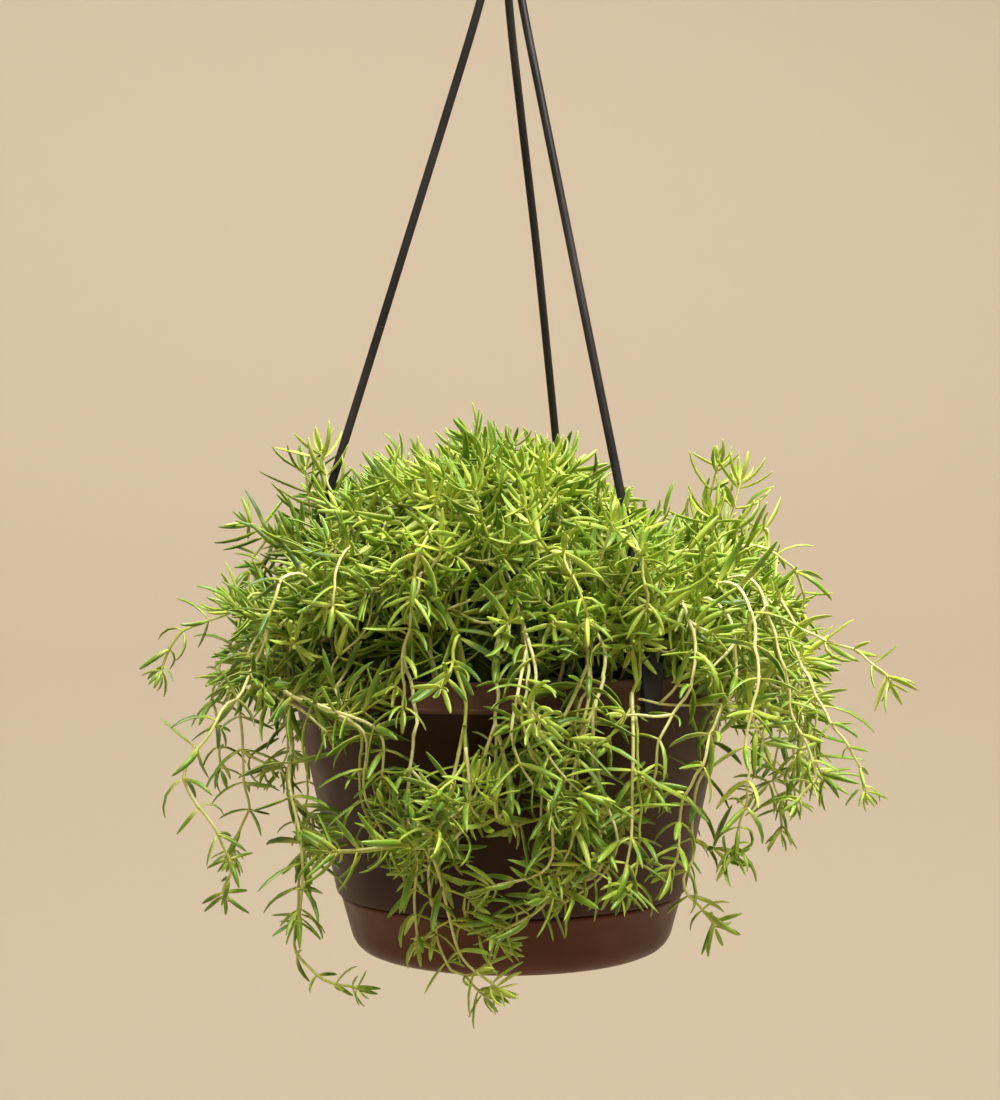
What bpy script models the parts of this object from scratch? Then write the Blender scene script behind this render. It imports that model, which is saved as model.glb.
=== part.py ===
"""A hanging basket of trailing sedum.

A narrow-leaved sedum fills a turned plastic pot with a saucer snapped under it. Three plastic strands clip over
the pot's rim and run up to a hub with a hook. Sizes in the constants are millimetres, and heights there are
measured from the underside of the saucer. The object hangs from the world origin, which is the point inside the
hook that bears on whatever holds it. A place round the pot is given by its turn in degrees from the front (-Y)
towards +X, its distance from the pot's axis, and its height.
"""

import bisect
import math
import random

import bmesh
import bpy
from mathutils import Matrix, Quaternion, Vector
from mathutils.bvhtree import BVHTree

MM = 0.001
OBJECT_NAME = "hanging_sedum"
HANG_HEIGHT = 640.0  # from the saucer's underside up to the hook's bearing point
GAP = 0.4  # left between pieces that touch
TURN_STEPS = 28  # sides of the pot, the saucer and the soil, alike so that their facets match

# Pot
RIM_RADIUS = 125.4
RIM_TOP = 157.0
BAND_BOTTOM = 141.0
WALL_TOP_RADIUS = 121.2
SKIRT_RADIUS = 98.4
SKIRT_HEIGHT = 33.2
WALL = 2.2
NECK_RADIUS = 90.8
SNAP_RADIUS = 91.8
SNAP_HEIGHT = 24.8
FOOT_RADIUS = 83.0
FOOT_HEIGHT = 2.3
FLOOR_HEIGHT = 10.0
FLOOR_RADIUS = 84.0  # inside, at the floor
DRAIN_HOLES = 4
DRAIN_RADIUS = 5.0
DRAIN_CIRCLE = 58.0
DRAIN_SIDES = 8

# Saucer
SAUCER_LIP_RADIUS = 95.8
SAUCER_LIP_HEIGHT = 32.4
SAUCER_FLOOR = 2.0

# Soil
SOIL_TOP = 140.0
HOLE_DEPTH = 14.0
HOLE_CLEARANCE = 1.5
HOLE_SIDES = 4

# Hanger
HUB_RADIUS = 9.0
HUB_SHOULDER = 5.0  # radius of the hub's flat top
HUB_BOTTOM = 564.0
HUB_TOP = 588.0
HUB_SIDES = 12
HOOK_BORE = 16.0  # radius inside the hook's bend
HOOK_WIRE = 3.2
HOOK_START = -52.0  # degrees round the bend at which it leaves the hub
HOOK_SWEEP = 258.0
HOOK_STEPS = 9
WIRE_RESOLUTION = 2
SOCKET_SIDES = 8
SOCKET_DEPTH = 20.0
STRAND_RADIUS = 2.4
STRAND_STEP = 58.0  # spacing of the points along a strand
STRAND_TURNS = {"strand_left": -86.0, "strand_right": 34.5, "strand_back": 161.5}
# Distance from the axis and height, from the clip up to the hub
STRAND_PATH = (
    (127.0, 162.0),
    (126.4, 168.0),
    (114.0, 215.0),
    (97.2, 270.0),
    (79.5, 326.0),
    (54.6, 405.0),
    (34.1, 470.0),
    (14.8, 533.0),
    (5.6, 572.0),
)
BACK_STRAND_TWIST = 18.0  # the back strand turns this far by the hub
TWIST_START = 300.0  # height at which it begins to turn
CLIP_WIDTH = 13.0
CLIP_WALL = 2.3
CLIP_TOP = 165.0
CLIP_BOTTOM = 138.5
CLIP_INNER_LEG = 147.0
CLIP_TAPER = 0.86  # width of the clip's legs as a share of its top

# Sedum stems and leaves
STEM_RADIUS = 1.6
STEM_TIP_RADIUS = 1.3
STEM_BULGE = 1.5  # how far a stem may stray from its smooth route
OUTER_RING = 112.0
INNER_RING = 101.0
BARE_LENGTH = 46.0  # stem without leaves, from its foot in the soil
WHORL_SPACING = 27.0
WHORL_TURN = 40.0  # degrees from one whorl to the next
WHORL_HALF = 1.1  # half the height of the band that a whorl's leaves grow from
TIP_LENGTH = 4.0  # stem beyond the last whorl
TIP_TAPER = 0.5
LEAF_WIDTH = 4.2
LEAF_LENGTH = 22.0
LEAF_WIDEST = 0.38  # share of the leaf's length from its root
LEAF_ARCH = 0.07  # how far the leaf's middle sags, as a share of its length
LEAF_LEAN = 62.0  # degrees from the stem's direction
TIP_LEAN = 34.0
LEAF_LIFT = 0.12  # how strongly leaves turn up
LEAF_SHARES = (0.85, 1.12)  # lengths along a stem, as shares of the full length
TIP_SHARES = (0.6, 0.75)
LEAF_WANDER = 8.0  # degrees either way at the first try
WANDER_GROWTH = 4.5  # degrees more at each new try
LEAF_SHRINK = 0.04  # share shorter at each new try
LEAF_CLEARANCE = 0.5
OWN_CLEARANCE = 0.15
ROOT_CLEARANCE = 1.6  # the part of a leaf this near its root isn't tested
BAND_REACH = 1.5  # faces this near a whorl's place belong to it
LEAF_TRIES = 8
SEED = 7

# The crown's core: distance from the axis and height, from the soil to the top
CORE_PROFILE = (
    (34.0, SOIL_TOP + GAP),
    (43.0, 160.0),
    (45.0, 180.0),
    (38.0, 199.0),
    (21.0, 212.0),
    (0.0, 217.0),
)
CORE_SIDES = 12
CORE_LUMP = 5.0
CORE_HEART = 174.0  # height of the point that the shoots radiate from
CROWN_SHOOTS = 38
CROWN_ROOTS = 4
ROOT_CIRCLE = 22.0
SHOOT_START = 33.0  # distance from the heart, inside the core
SHOOT_SPREAD = 108.0  # degrees from straight up to the lowest shoot
SHOOT_LENGTH = (66.0, 78.0)
SHOOT_SHRINK = 0.28  # share of its length that the lowest shoot lacks
SHOOT_BARE = 15.0
SHOOT_SPACING = 15.0
SHOOT_SWAY = 5.0
ROOT_LENGTH = 30.0
GOLDEN_TURN = 137.508

# Finishes: base colour and roughness
FINISHES = {
    "pot_plastic": ((0.060, 0.030, 0.021), 0.42),
    "saucer_plastic": ((0.098, 0.042, 0.027), 0.40),
    "hanger_plastic": ((0.019, 0.018, 0.018), 0.38),
    "potting_mix": ((0.034, 0.019, 0.012), 0.95),
    "sedum_green": ((0.262, 0.456, 0.061), 0.50),
    "sedum_pale": ((0.560, 0.620, 0.230), 0.50),
    "sedum_brown": ((0.240, 0.210, 0.080), 0.55),
}
HARD_FINISHES = {
    "pot": "pot_plastic",
    "saucer": "saucer_plastic",
    "soil": "potting_mix",
    "hanger_hook": "hanger_plastic",
    "strand_left": "hanger_plastic",
    "strand_right": "hanger_plastic",
    "strand_back": "hanger_plastic",
}
PALE_STEMS = ("stem_pale_front", "stem_pale_right", "stem_long_right", "stem_white_right", "stem_low_front")
BROWN_STEMS = ("stem_brown_front", "stem_mound_09")
SMOOTH_ANGLE = 35.0  # edges sharper than this stay crisp on the round pieces

# Stems that the front shows: turn and ring of the root, height of the arch over the rim, then x, y and height
FRONT_STEMS = {
    "stem_edge_left": (-74, OUTER_RING, 200, (
        (-150, -44, 190), (-170, -46, 182), (-187, -46, 167), (-193, -47, 150))),
    "stem_straight_left": (-69, OUTER_RING, 182, (
        (-140, -76, 151), (-140, -89, 122), (-140, -89, 102), (-142, -87, 84), (-143, -86, 67))),
    "stem_bow_left": (-61, INNER_RING, 196, (
        (-130, -80, 167), (-116, -98, 152), (-91, -113, 147), (-78, -121, 136), (-77, -120, 110),
        (-71, -121, 93), (-61, -124, 78))),
    "stem_long_left": (-56, OUTER_RING, 196, (
        (-116, -87, 150), (-117, -94, 128), (-116, -102, 104), (-108, -109, 81), (-113, -105, 46),
        (-111, -107, 23), (-96, -118, 8), (-73, -130, 4))),
    "stem_outer_left": (-50, INNER_RING, 206, (
        (-134, -103, 152), (-152, -118, 131), (-163, -119, 110), (-158, -117, 90), (-141, -103, 67),
        (-145, -94, 43))),
    "stem_pale_front": (-24, INNER_RING, 212, (
        (-48, -134, 179), (-52, -137, 164), (-56, -136, 144))),
    "stem_low_front": (-19, OUTER_RING, 184, (
        (-50, -128, 138), (-50, -128, 106), (-43, -127, 75), (-42, -125, 47), (-36, -126, 25),
        (-20, -127, 13), (-11, -128, -2))),
    "stem_cross_left": (-11, OUTER_RING, 182, (
        (-26, -133, 138), (-22, -134, 101), (-31, -138, 85), (-60, -137, 80), (-85, -128, 77),
        (-97, -120, 77))),
    "stem_rosette_front": (-4, OUTER_RING, 186, (
        (-8, -136, 140), (-8, -134, 110), (-14, -138, 93), (-18, -145, 101), (-17, -149, 114))),
    "stem_cross_front": (3, INNER_RING, 201, (
        (5, -142, 158), (6, -144, 129), (20, -146, 111), (39, -145, 96))),
    "stem_brown_front": (12, OUTER_RING, 192, (
        (35, -133, 167), (35, -135, 144), (31, -134, 118), (28, -131, 85))),
    "stem_curl_front": (20, OUTER_RING, 188, (
        (43, -137, 142), (44, -136, 109), (44, -133, 83), (39, -131, 63), (9, -133, 45), (-8, -132, 36))),
    "stem_right_front": (27, OUTER_RING, 184, (
        (63, -130, 138), (62, -130, 108), (64, -127, 81), (59, -125, 54))),
    "stem_pale_right": (41, OUTER_RING, 192, (
        (89, -122, 158), (81, -127, 140), (73, -129, 122), (69, -129, 102))),
    "stem_long_right": (47, OUTER_RING, 194, (
        (112, -110, 153), (99, -123, 129), (89, -127, 108), (78, -125, 61))),
    "stem_low_right": (50, INNER_RING, 180, (
        (105, -86, 144), (101, -88, 104), (93, -99, 69), (89, -103, 49), (105, -90, 28))),
    "stem_white_right": (58, OUTER_RING, 200, (
        (121, -119, 157), (120, -122, 128), (118, -120, 104), (112, -115, 74))),
    "stem_side_right": (62, INNER_RING, 204, (
        (134, -106, 164), (146, -112, 133), (149, -111, 111), (137, -112, 95))),
    "stem_far_right": (67, OUTER_RING, 198, (
        (151, -94, 182), (176, -106, 166), (197, -115, 157), (209, -118, 155))),
    "stem_small_right": (72, INNER_RING, 196, (
        (153, -84, 163), (166, -98, 134), (177, -101, 117), (181, -100, 99))),
}

# Arching stems that fill the mound's shoulders: turn of the root, distance reached, height of the arch and of the
# tip, and how far the stem sways sideways in degrees
MOUND_STEMS = (
    (-95, 154, 230, 192, -5), (-40, 152, 222, 190, 4), (-14, 150, 236, 194, -5), (8, 152, 226, 188, 6),
    (29, 152, 232, 192, -3), (78, 164, 226, 186, 4), (92, 150, 244, 206, -5), (112, 168, 220, 176, 6),
    (132, 152, 242, 202, -6), (152, 168, 222, 180, -4), (174, 152, 242, 204, 6), (192, 168, 220, 174, -5),
    (212, 150, 242, 206, 6), (230, 168, 224, 182, -6), (250, 158, 238, 198, 6),
)

# Trailing stems round the sides and the back, the same way
TRAILING_STEMS = (
    (-103, 176, 192, 96, 6), (-121, 158, 190, 40, -6), (-139, 180, 194, 112, 7), (-157, 152, 188, 22, -7),
    (-174, 176, 192, 96, 6), (168, 150, 186, 46, -5), (150, 174, 194, 118, -6), (128, 154, 190, 30, 7),
    (108, 180, 194, 104, -7), (88, 160, 190, 58, 6),
)


def spot(turn, radius, height):
    """A place round the pot, in metres."""
    angle = math.radians(turn)
    return Vector((radius * math.sin(angle), -radius * math.cos(angle), height)) * MM


def clear_scene():
    """Start from an empty file."""
    for obj in list(bpy.data.objects):
        bpy.data.objects.remove(obj, do_unlink=True)


def new_collection(name):
    """A collection linked under the scene."""
    group = bpy.data.collections.new(name)
    bpy.context.scene.collection.children.link(group)
    return group


def new_material(name, colour, roughness):
    """A plain Principled finish."""
    material = bpy.data.materials.new(name)
    material.use_nodes = True
    shader = material.node_tree.nodes["Principled BSDF"]
    shader.inputs["Base Color"].default_value = (*colour, 1.0)
    shader.inputs["Roughness"].default_value = roughness
    shader.inputs["Metallic"].default_value = 0.0
    return material


def mesh_object(name, mesh, group):
    """An object that holds the mesh, linked to the group."""
    obj = bpy.data.objects.new(name, mesh)
    group.objects.link(obj)
    return obj


def baked(obj):
    """Replace an object's mesh by the one its modifiers give."""
    evaluated = obj.evaluated_get(bpy.context.evaluated_depsgraph_get())
    mesh = bpy.data.meshes.new_from_object(evaluated)
    mesh.name = obj.name
    obj.modifiers.clear()
    obj.data = mesh


def turned(name, profile, steps, group):
    """A solid turned round the axis from (distance, height) points that run down the outer side."""
    mesh = bpy.data.meshes.new(name)
    points = [(radius * MM, 0.0, height * MM) for radius, height in profile]
    edges = [(i, i + 1) for i in range(len(points) - 1)]
    mesh.from_pydata(points, edges, [])
    obj = mesh_object(name, mesh, group)
    screw = obj.modifiers.new("Turn", "SCREW")
    screw.steps = steps
    screw.render_steps = steps
    screw.use_merge_vertices = True
    screw.merge_threshold = 0.00001
    baked(obj)
    return obj


def stem_section(group):
    """A triangle of radius 1, the section of the leafy stems."""
    curve = bpy.data.curves.new("stem_section", "CURVE")
    curve.dimensions = "2D"
    spline = curve.splines.new("POLY")
    spline.points.add(2)
    for i, point in enumerate(spline.points):
        angle = math.radians(90 + i * 120)
        point.co = (math.cos(angle), math.sin(angle), 0.0, 1.0)
    spline.use_cyclic_u = True
    section = bpy.data.objects.new("stem_section", curve)
    section.hide_render = True
    section.display_type = "WIRE"
    group.objects.link(section)
    return section


def tube_from(curve, name, points, radii, group, tilts=None):
    """A closed tube along the points, as a mesh object; the curve holds its bevel already."""
    curve.dimensions = "3D"
    curve.use_fill_caps = True
    spline = curve.splines.new("POLY")
    spline.points.add(len(points) - 1)
    for i, point in enumerate(spline.points):
        point.co = (*points[i], 1.0)
        point.radius = radii[i] * MM
        point.tilt = tilts[i] if tilts else 0.0
    source = bpy.data.objects.new(name + "_curve", curve)
    group.objects.link(source)
    evaluated = source.evaluated_get(bpy.context.evaluated_depsgraph_get())
    mesh = bpy.data.meshes.new_from_object(evaluated)
    shape = bmesh.new()
    shape.from_mesh(mesh)
    bmesh.ops.remove_doubles(shape, verts=shape.verts, dist=0.00001)
    bmesh.ops.recalc_face_normals(shape, faces=shape.faces)
    shape.to_mesh(mesh)
    shape.free()
    obj = mesh_object(name, mesh, group)
    obj.matrix_world = source.matrix_world
    bpy.data.objects.remove(source, do_unlink=True)
    return obj


def round_tube(name, points, radius, resolution, group):
    """A closed round tube of one radius."""
    curve = bpy.data.curves.new(name, "CURVE")
    curve.bevel_depth = 1.0
    curve.bevel_resolution = resolution
    return tube_from(curve, name, points, [radius] * len(points), group)


def stem_tube(name, points, radii, tilts, section, group):
    """A closed three-sided tube, turned about its own line by the tilts."""
    curve = bpy.data.curves.new(name, "CURVE")
    curve.bevel_mode = "OBJECT"
    curve.bevel_object = section
    return tube_from(curve, name, points, radii, group, tilts)


def cylinder(name, radius, bottom, top, sides, group):
    """A closed cylinder between two points."""
    shape = bmesh.new()
    size = radius * MM
    depth = (top - bottom).length
    bmesh.ops.create_cone(shape, cap_ends=True, segments=sides, radius1=size, radius2=size, depth=depth)
    turn = (top - bottom).to_track_quat("Z", "Y").to_matrix().to_4x4()
    bmesh.ops.transform(shape, matrix=Matrix.Translation((top + bottom) / 2) @ turn, verts=shape.verts)
    mesh = bpy.data.meshes.new(name)
    shape.to_mesh(mesh)
    shape.free()
    return mesh_object(name, mesh, group)


def combine(target, others, operation, solver="EXACT"):
    """Cut the others from the target, or join them to it, and remove them."""
    pile = bpy.data.collections.new("pile")
    bpy.context.scene.collection.children.link(pile)
    for obj in others:
        for group in list(obj.users_collection):
            group.objects.unlink(obj)
        pile.objects.link(obj)
    boolean = target.modifiers.new("Combine", "BOOLEAN")
    boolean.operation = operation
    boolean.operand_type = "COLLECTION"
    boolean.collection = pile
    boolean.solver = solver
    baked(target)
    for obj in others:
        bpy.data.objects.remove(obj, do_unlink=True)
    bpy.data.collections.remove(pile)


def smooth_path(points, spacing, fineness=12):
    """Evenly spaced points on a smooth curve through the given ones."""
    stops = [0.0]
    for a, b in zip(points, points[1:]):
        stops.append(stops[-1] + (b - a).length)
    slopes = []
    for i in range(len(points)):
        low, high = max(i - 1, 0), min(i + 1, len(points) - 1)
        slopes.append((points[high] - points[low]) / (stops[high] - stops[low]))
    fine = []
    for i in range(len(points) - 1):
        span = stops[i + 1] - stops[i]
        for k in range(fineness):
            t = k / fineness
            fine.append(
                points[i] * (2 * t**3 - 3 * t**2 + 1)
                + slopes[i] * span * (t**3 - 2 * t**2 + t)
                + points[i + 1] * (3 * t**2 - 2 * t**3)
                + slopes[i + 1] * span * (t**3 - t**2)
            )
    fine.append(points[-1])
    lengths = [0.0]
    for a, b in zip(fine, fine[1:]):
        lengths.append(lengths[-1] + (b - a).length)
    count = max(3, round(lengths[-1] / (spacing * MM)))
    path, at = [], 0
    for k in range(count + 1):
        goal = lengths[-1] * k / count
        while at < len(fine) - 2 and lengths[at + 1] < goal:
            at += 1
        share = (goal - lengths[at]) / (lengths[at + 1] - lengths[at])
        path.append(fine[at].lerp(fine[at + 1], min(share, 1.0)))
    return path


def front_route(turn, ring, arch, seen):
    """A stem's points: out of the soil, over the rim, then along the places that the front shows."""
    first = Vector(seen[0])
    reach = math.hypot(first.x, first.y)
    seen_turn = math.degrees(math.atan2(first.x, -first.y))
    points = [
        spot(turn, ring, SOIL_TOP - HOLE_DEPTH + 1.0),
        spot(turn, ring, SOIL_TOP + 14.0),
        spot(turn + (seen_turn - turn) * 0.3, ring + (reach - ring) * 0.2, arch - 9.0),
        spot(turn + (seen_turn - turn) * 0.75, ring + (reach - ring) * 0.7, arch),
    ]
    return points + [Vector(place) * MM for place in seen]


def arching_route(turn, reach, arch, tip, sway):
    """A stem's points: out of the soil, up to the arch and out and down to the tip."""
    ring = INNER_RING if arch > 200 else OUTER_RING
    span = reach - ring
    fall = arch - tip
    return [
        spot(turn, ring, SOIL_TOP - HOLE_DEPTH + 1.0),
        spot(turn, ring, SOIL_TOP + 14.0),
        spot(turn + sway * 0.1, ring + span * 0.18, arch - 14.0),
        spot(turn + sway * 0.4, ring + span * 0.5, arch),
        spot(turn + sway * 0.8, ring + span * 0.88, arch - fall * 0.3),
        spot(turn + sway, ring + span, arch - fall * 0.7),
        spot(turn + sway, ring + span * 0.96, tip),
    ]


def stem_routes():
    """Every stem outside the crown: its name and its smooth route."""
    routes = {}
    for name, (turn, ring, arch, seen) in FRONT_STEMS.items():
        routes[name] = front_route(turn, ring, arch, seen)
    for kind, stems in (("stem_mound", MOUND_STEMS), ("stem_trail", TRAILING_STEMS)):
        for i, stem in enumerate(stems, 1):
            routes[f"{kind}_{i:02d}"] = arching_route(*stem)
    return {name: Route(points) for name, points in routes.items()}


class Route:
    """A smooth line that can be asked for the place at any length along it."""

    def __init__(self, points):
        self.points = smooth_path(points, 1.5)
        self.lengths = [0.0]
        for a, b in zip(self.points, self.points[1:]):
            self.lengths.append(self.lengths[-1] + (b - a).length / MM)
        self.total = self.lengths[-1]

    def at(self, length):
        """The place this many millimetres along."""
        k = min(bisect.bisect_right(self.lengths, length), len(self.points) - 1)
        share = (length - self.lengths[k - 1]) / (self.lengths[k] - self.lengths[k - 1])
        return self.points[k - 1].lerp(self.points[k], share)

    def direction(self, length):
        """The way the line runs there."""
        return (self.at(min(length + 1.0, self.total)) - self.at(max(length - 1.0, 0.0))).normalized()


def whorl_places(route, bare, spacing):
    """Lengths along a stem at which leaves grow, counted back from its tip."""
    last = route.total - TIP_LENGTH
    count = max(1, int((last - bare) / spacing) + 1)
    return [last - i * spacing for i in reversed(range(count))]


def stem_stops(route, whorls):
    """Lengths along a stem at which it needs a ring of points: at whorls, and between them where it bends."""
    bands = []
    for whorl in whorls:
        bands += [whorl - WHORL_HALF, whorl + WHORL_HALF]
    bands = [0.0, min(HOLE_DEPTH, bands[0] - 1.0)] + bands + [route.total]
    stops = []
    for low, high in zip(bands, bands[1:]):
        stops.append(low)
        parts = 1
        while bulge(route, low, high, parts) > STEM_BULGE:
            parts += 1
        stops += [low + (high - low) * k / parts for k in range(1, parts)]
    return stops + [route.total]


def bulge(route, low, high, parts):
    """How far the route strays from straight lines that cut this stretch of it into equal parts."""
    most = 0.0
    for k in range(parts):
        start, end = low + (high - low) * k / parts, low + (high - low) * (k + 1) / parts
        middle = (route.at(start) + route.at(end)) / 2
        most = max(most, (route.at((start + end) / 2) - middle).length / MM)
    return most


def bare_stem(name, route, whorls, section, group):
    """A stem without its leaves: three-sided, with a narrow band of faces at each whorl."""
    stops = stem_stops(route, whorls)
    tilts, radii = [], []
    for stop in stops:
        after = bisect.bisect_right(whorls, stop)
        low = whorls[max(after - 1, 0)] + WHORL_HALF
        high = whorls[min(after, len(whorls) - 1)] - WHORL_HALF
        share = min(max((stop - low) / (high - low), 0.0), 1.0) if high > low else 0.0
        tilts.append(math.radians(WHORL_TURN * (max(after - 1, 0) + share)))
        radii.append(STEM_RADIUS + (STEM_TIP_RADIUS - STEM_RADIUS) * stop / route.total)
    radii[-1] *= TIP_TAPER
    return stem_tube(name, [route.at(stop) for stop in stops], radii, tilts, section, group)


class Surroundings:
    """What a new leaf has to stay clear of, as search trees kept by the name of their piece."""

    def __init__(self):
        self.trees = {}

    def add(self, owner, points, faces):
        """Keep a shape."""
        tree = BVHTree.FromPolygons([tuple(point) for point in points], faces)
        self.trees.setdefault(owner, []).append(tree)

    def add_object(self, owner, obj):
        """Keep an object's faces."""
        points = [obj.matrix_world @ vert.co for vert in obj.data.vertices]
        self.add(owner, points, [tuple(face.vertices) for face in obj.data.polygons])

    def free(self, points, faces, owner=None, only=None):
        """Whether a shape is clear of every piece but its owner's, or of one piece only."""
        shape = BVHTree.FromPolygons([tuple(point) for point in points], faces)
        for name, trees in self.trees.items():
            if name == owner or (only and name != only):
                continue
            if any(tree.overlap(shape) for tree in trees):
                return False
        return True


class Leaf:
    """One leaf to be drawn out of a face on a stem's side."""

    def __init__(self, corners, stem, lean, yaw, length):
        self.root = sum(corners, Vector()) / len(corners)
        normal = (corners[1] - corners[0]).cross(corners[2] - corners[1]).normalized()
        self.across = stem.cross(normal).normalized()
        outward = normal.copy()
        outward.rotate(Quaternion(stem, math.radians(yaw)))
        along = stem * math.cos(math.radians(lean)) + outward * math.sin(math.radians(lean))
        along.z += LEAF_LIFT
        self.along = along.normalized()
        self.length = length

    def tip(self, swell=0.0):
        """Where the leaf ends."""
        return self.root + self.along * ((self.length + swell) * MM)

    def belly(self, side, swell=0.0):
        """The widest place on one side, 1 or -1."""
        below = self.along.cross(self.across).normalized()
        if below.z > 0:
            below = -below
        size = self.length * MM
        middle = self.root + self.along * (size * LEAF_WIDEST) + below * (size * LEAF_ARCH)
        return middle + self.across * (side * (LEAF_WIDTH / 2 + swell) * MM)

    def outline(self, swell):
        """Points and faces of the leaf without its root, grown on every side."""
        start = self.root + self.along * (ROOT_CLEARANCE * MM)
        thick = self.along.cross(self.across).normalized() * ((WHORL_HALF + swell) * MM)
        points = [start + thick, start - thick, self.belly(1, swell), self.belly(-1, swell), self.tip(swell)]
        faces = ((0, 1, 2), (1, 0, 3), (0, 2, 4), (2, 1, 4), (1, 3, 4), (3, 0, 4))
        return points, faces

    def fits(self, around, owner):
        """Whether there is room for the leaf."""
        own_points, faces = self.outline(OWN_CLEARANCE)
        if not around.free(own_points, faces, only=owner):
            return False
        points, faces = self.outline(LEAF_CLEARANCE)
        return around.free(points, faces, owner=owner)

    def grow(self, shape, face):
        """Draw the face out to the tip and widen the two sides; return the points and faces of the new skin."""
        drawn = bmesh.ops.extrude_discrete_faces(shape, faces=[face])["faces"][0]
        tip = self.tip()
        bmesh.ops.pointmerge(shape, verts=drawn.verts[:], merge_co=tip)
        end = min(shape.verts, key=lambda vert: (vert.co - tip).length)
        sides = sorted(end.link_faces, key=lambda side: side.calc_center_median().dot(self.across))
        skin = set(sides[1:-1])
        for place, side in ((-1, sides[0]), (1, sides[-1])):
            middle = bmesh.ops.poke(shape, faces=[side])["verts"][0]
            middle.co = self.belly(place)
            skin.update(middle.link_faces)
        points, faces = [], []
        for side in skin:
            faces.append(tuple(range(len(points), len(points) + len(side.verts))))
            points += [vert.co.copy() for vert in side.verts]
        return points, faces


def draw_leaves(owner, stem, route, whorls, around, rng):
    """Draw leaves out of a stem's bands wherever there is room."""
    shape = bmesh.new()
    shape.from_mesh(stem.data)
    bands = []
    for place in (route.at(whorl) for whorl in whorls):
        near = (face for face in shape.faces if (face.calc_center_median() - place).length < BAND_REACH * MM)
        bands.append(list(near))
    for whorl, band in zip(whorls, bands):
        for face in band:
            leaf = find_leaf(face, route.direction(whorl), whorl == whorls[-1], around, owner, rng)
            if leaf:
                around.add(owner, *leaf.grow(shape, face))
    shape.to_mesh(stem.data)
    shape.free()


def find_leaf(face, stem, at_tip, around, owner, rng):
    """A leaf for the face that has room, or None."""
    lean = TIP_LEAN if at_tip else LEAF_LEAN
    length = LEAF_LENGTH * rng.uniform(*(TIP_SHARES if at_tip else LEAF_SHARES))
    corners = [vert.co.copy() for vert in face.verts]
    for attempt in range(LEAF_TRIES):
        wander = LEAF_WANDER + WANDER_GROWTH * attempt
        yaw = rng.uniform(-wander, wander)
        tilt = lean + rng.uniform(-wander, wander)
        leaf = Leaf(corners, stem, tilt, yaw, length * (1 - LEAF_SHRINK * attempt))
        if leaf.fits(around, owner):
            return leaf
    return None


def crown_core(group):
    """The dense heart of the crown, a low lumpy dome."""
    profile = list(reversed(CORE_PROFILE)) + [(0.0, SOIL_TOP + GAP)]
    core = turned("crown", profile, CORE_SIDES, group)
    for vert in core.data.vertices:
        if vert.co.z > CORE_PROFILE[0][1] * MM and vert.co.xy.length > CORE_LUMP * MM:
            angle = math.atan2(vert.co.y, vert.co.x)
            lump = math.sin(3 * angle + vert.co.z * 60) + math.sin(5 * angle - vert.co.z * 90)
            vert.co.xy += vert.co.xy.normalized() * (lump / 2 * CORE_LUMP * MM)
    return core


def crown_roots():
    """Feet of the short stems that the crown stands on."""
    foot = SOIL_TOP - HOLE_DEPTH + 1.0
    return [spot(30 + i * 360 / CROWN_ROOTS, ROOT_CIRCLE, foot) for i in range(CROWN_ROOTS)]


def crown_shoots(rng):
    """Short shoots spread evenly over the core, each a route from inside it."""
    up = Vector((0, 0, 1))
    shoots = []
    for i in range(CROWN_SHOOTS):
        share = (i + 0.5) / CROWN_SHOOTS
        outward = spot(i * GOLDEN_TURN, 1 / MM, 0.0)
        tilt = math.acos(1 - share * (1 - math.cos(math.radians(SHOOT_SPREAD))))
        start = up * (CORE_HEART * MM) + (up * math.cos(tilt) + outward * math.sin(tilt)) * (SHOOT_START * MM)
        lean = tilt * 0.8 + math.radians(rng.uniform(-8, 8))
        reach = (up * math.cos(lean) + outward * math.sin(lean)) * MM
        reach *= rng.uniform(*SHOOT_LENGTH) * (1 - SHOOT_SHRINK * share)
        bend = Vector((rng.uniform(-SHOOT_SWAY, SHOOT_SWAY), rng.uniform(-SHOOT_SWAY, SHOOT_SWAY), 0)) * MM
        shoots.append(Route([start, start + reach * 0.5 + bend, start + reach]))
    return shoots


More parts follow.
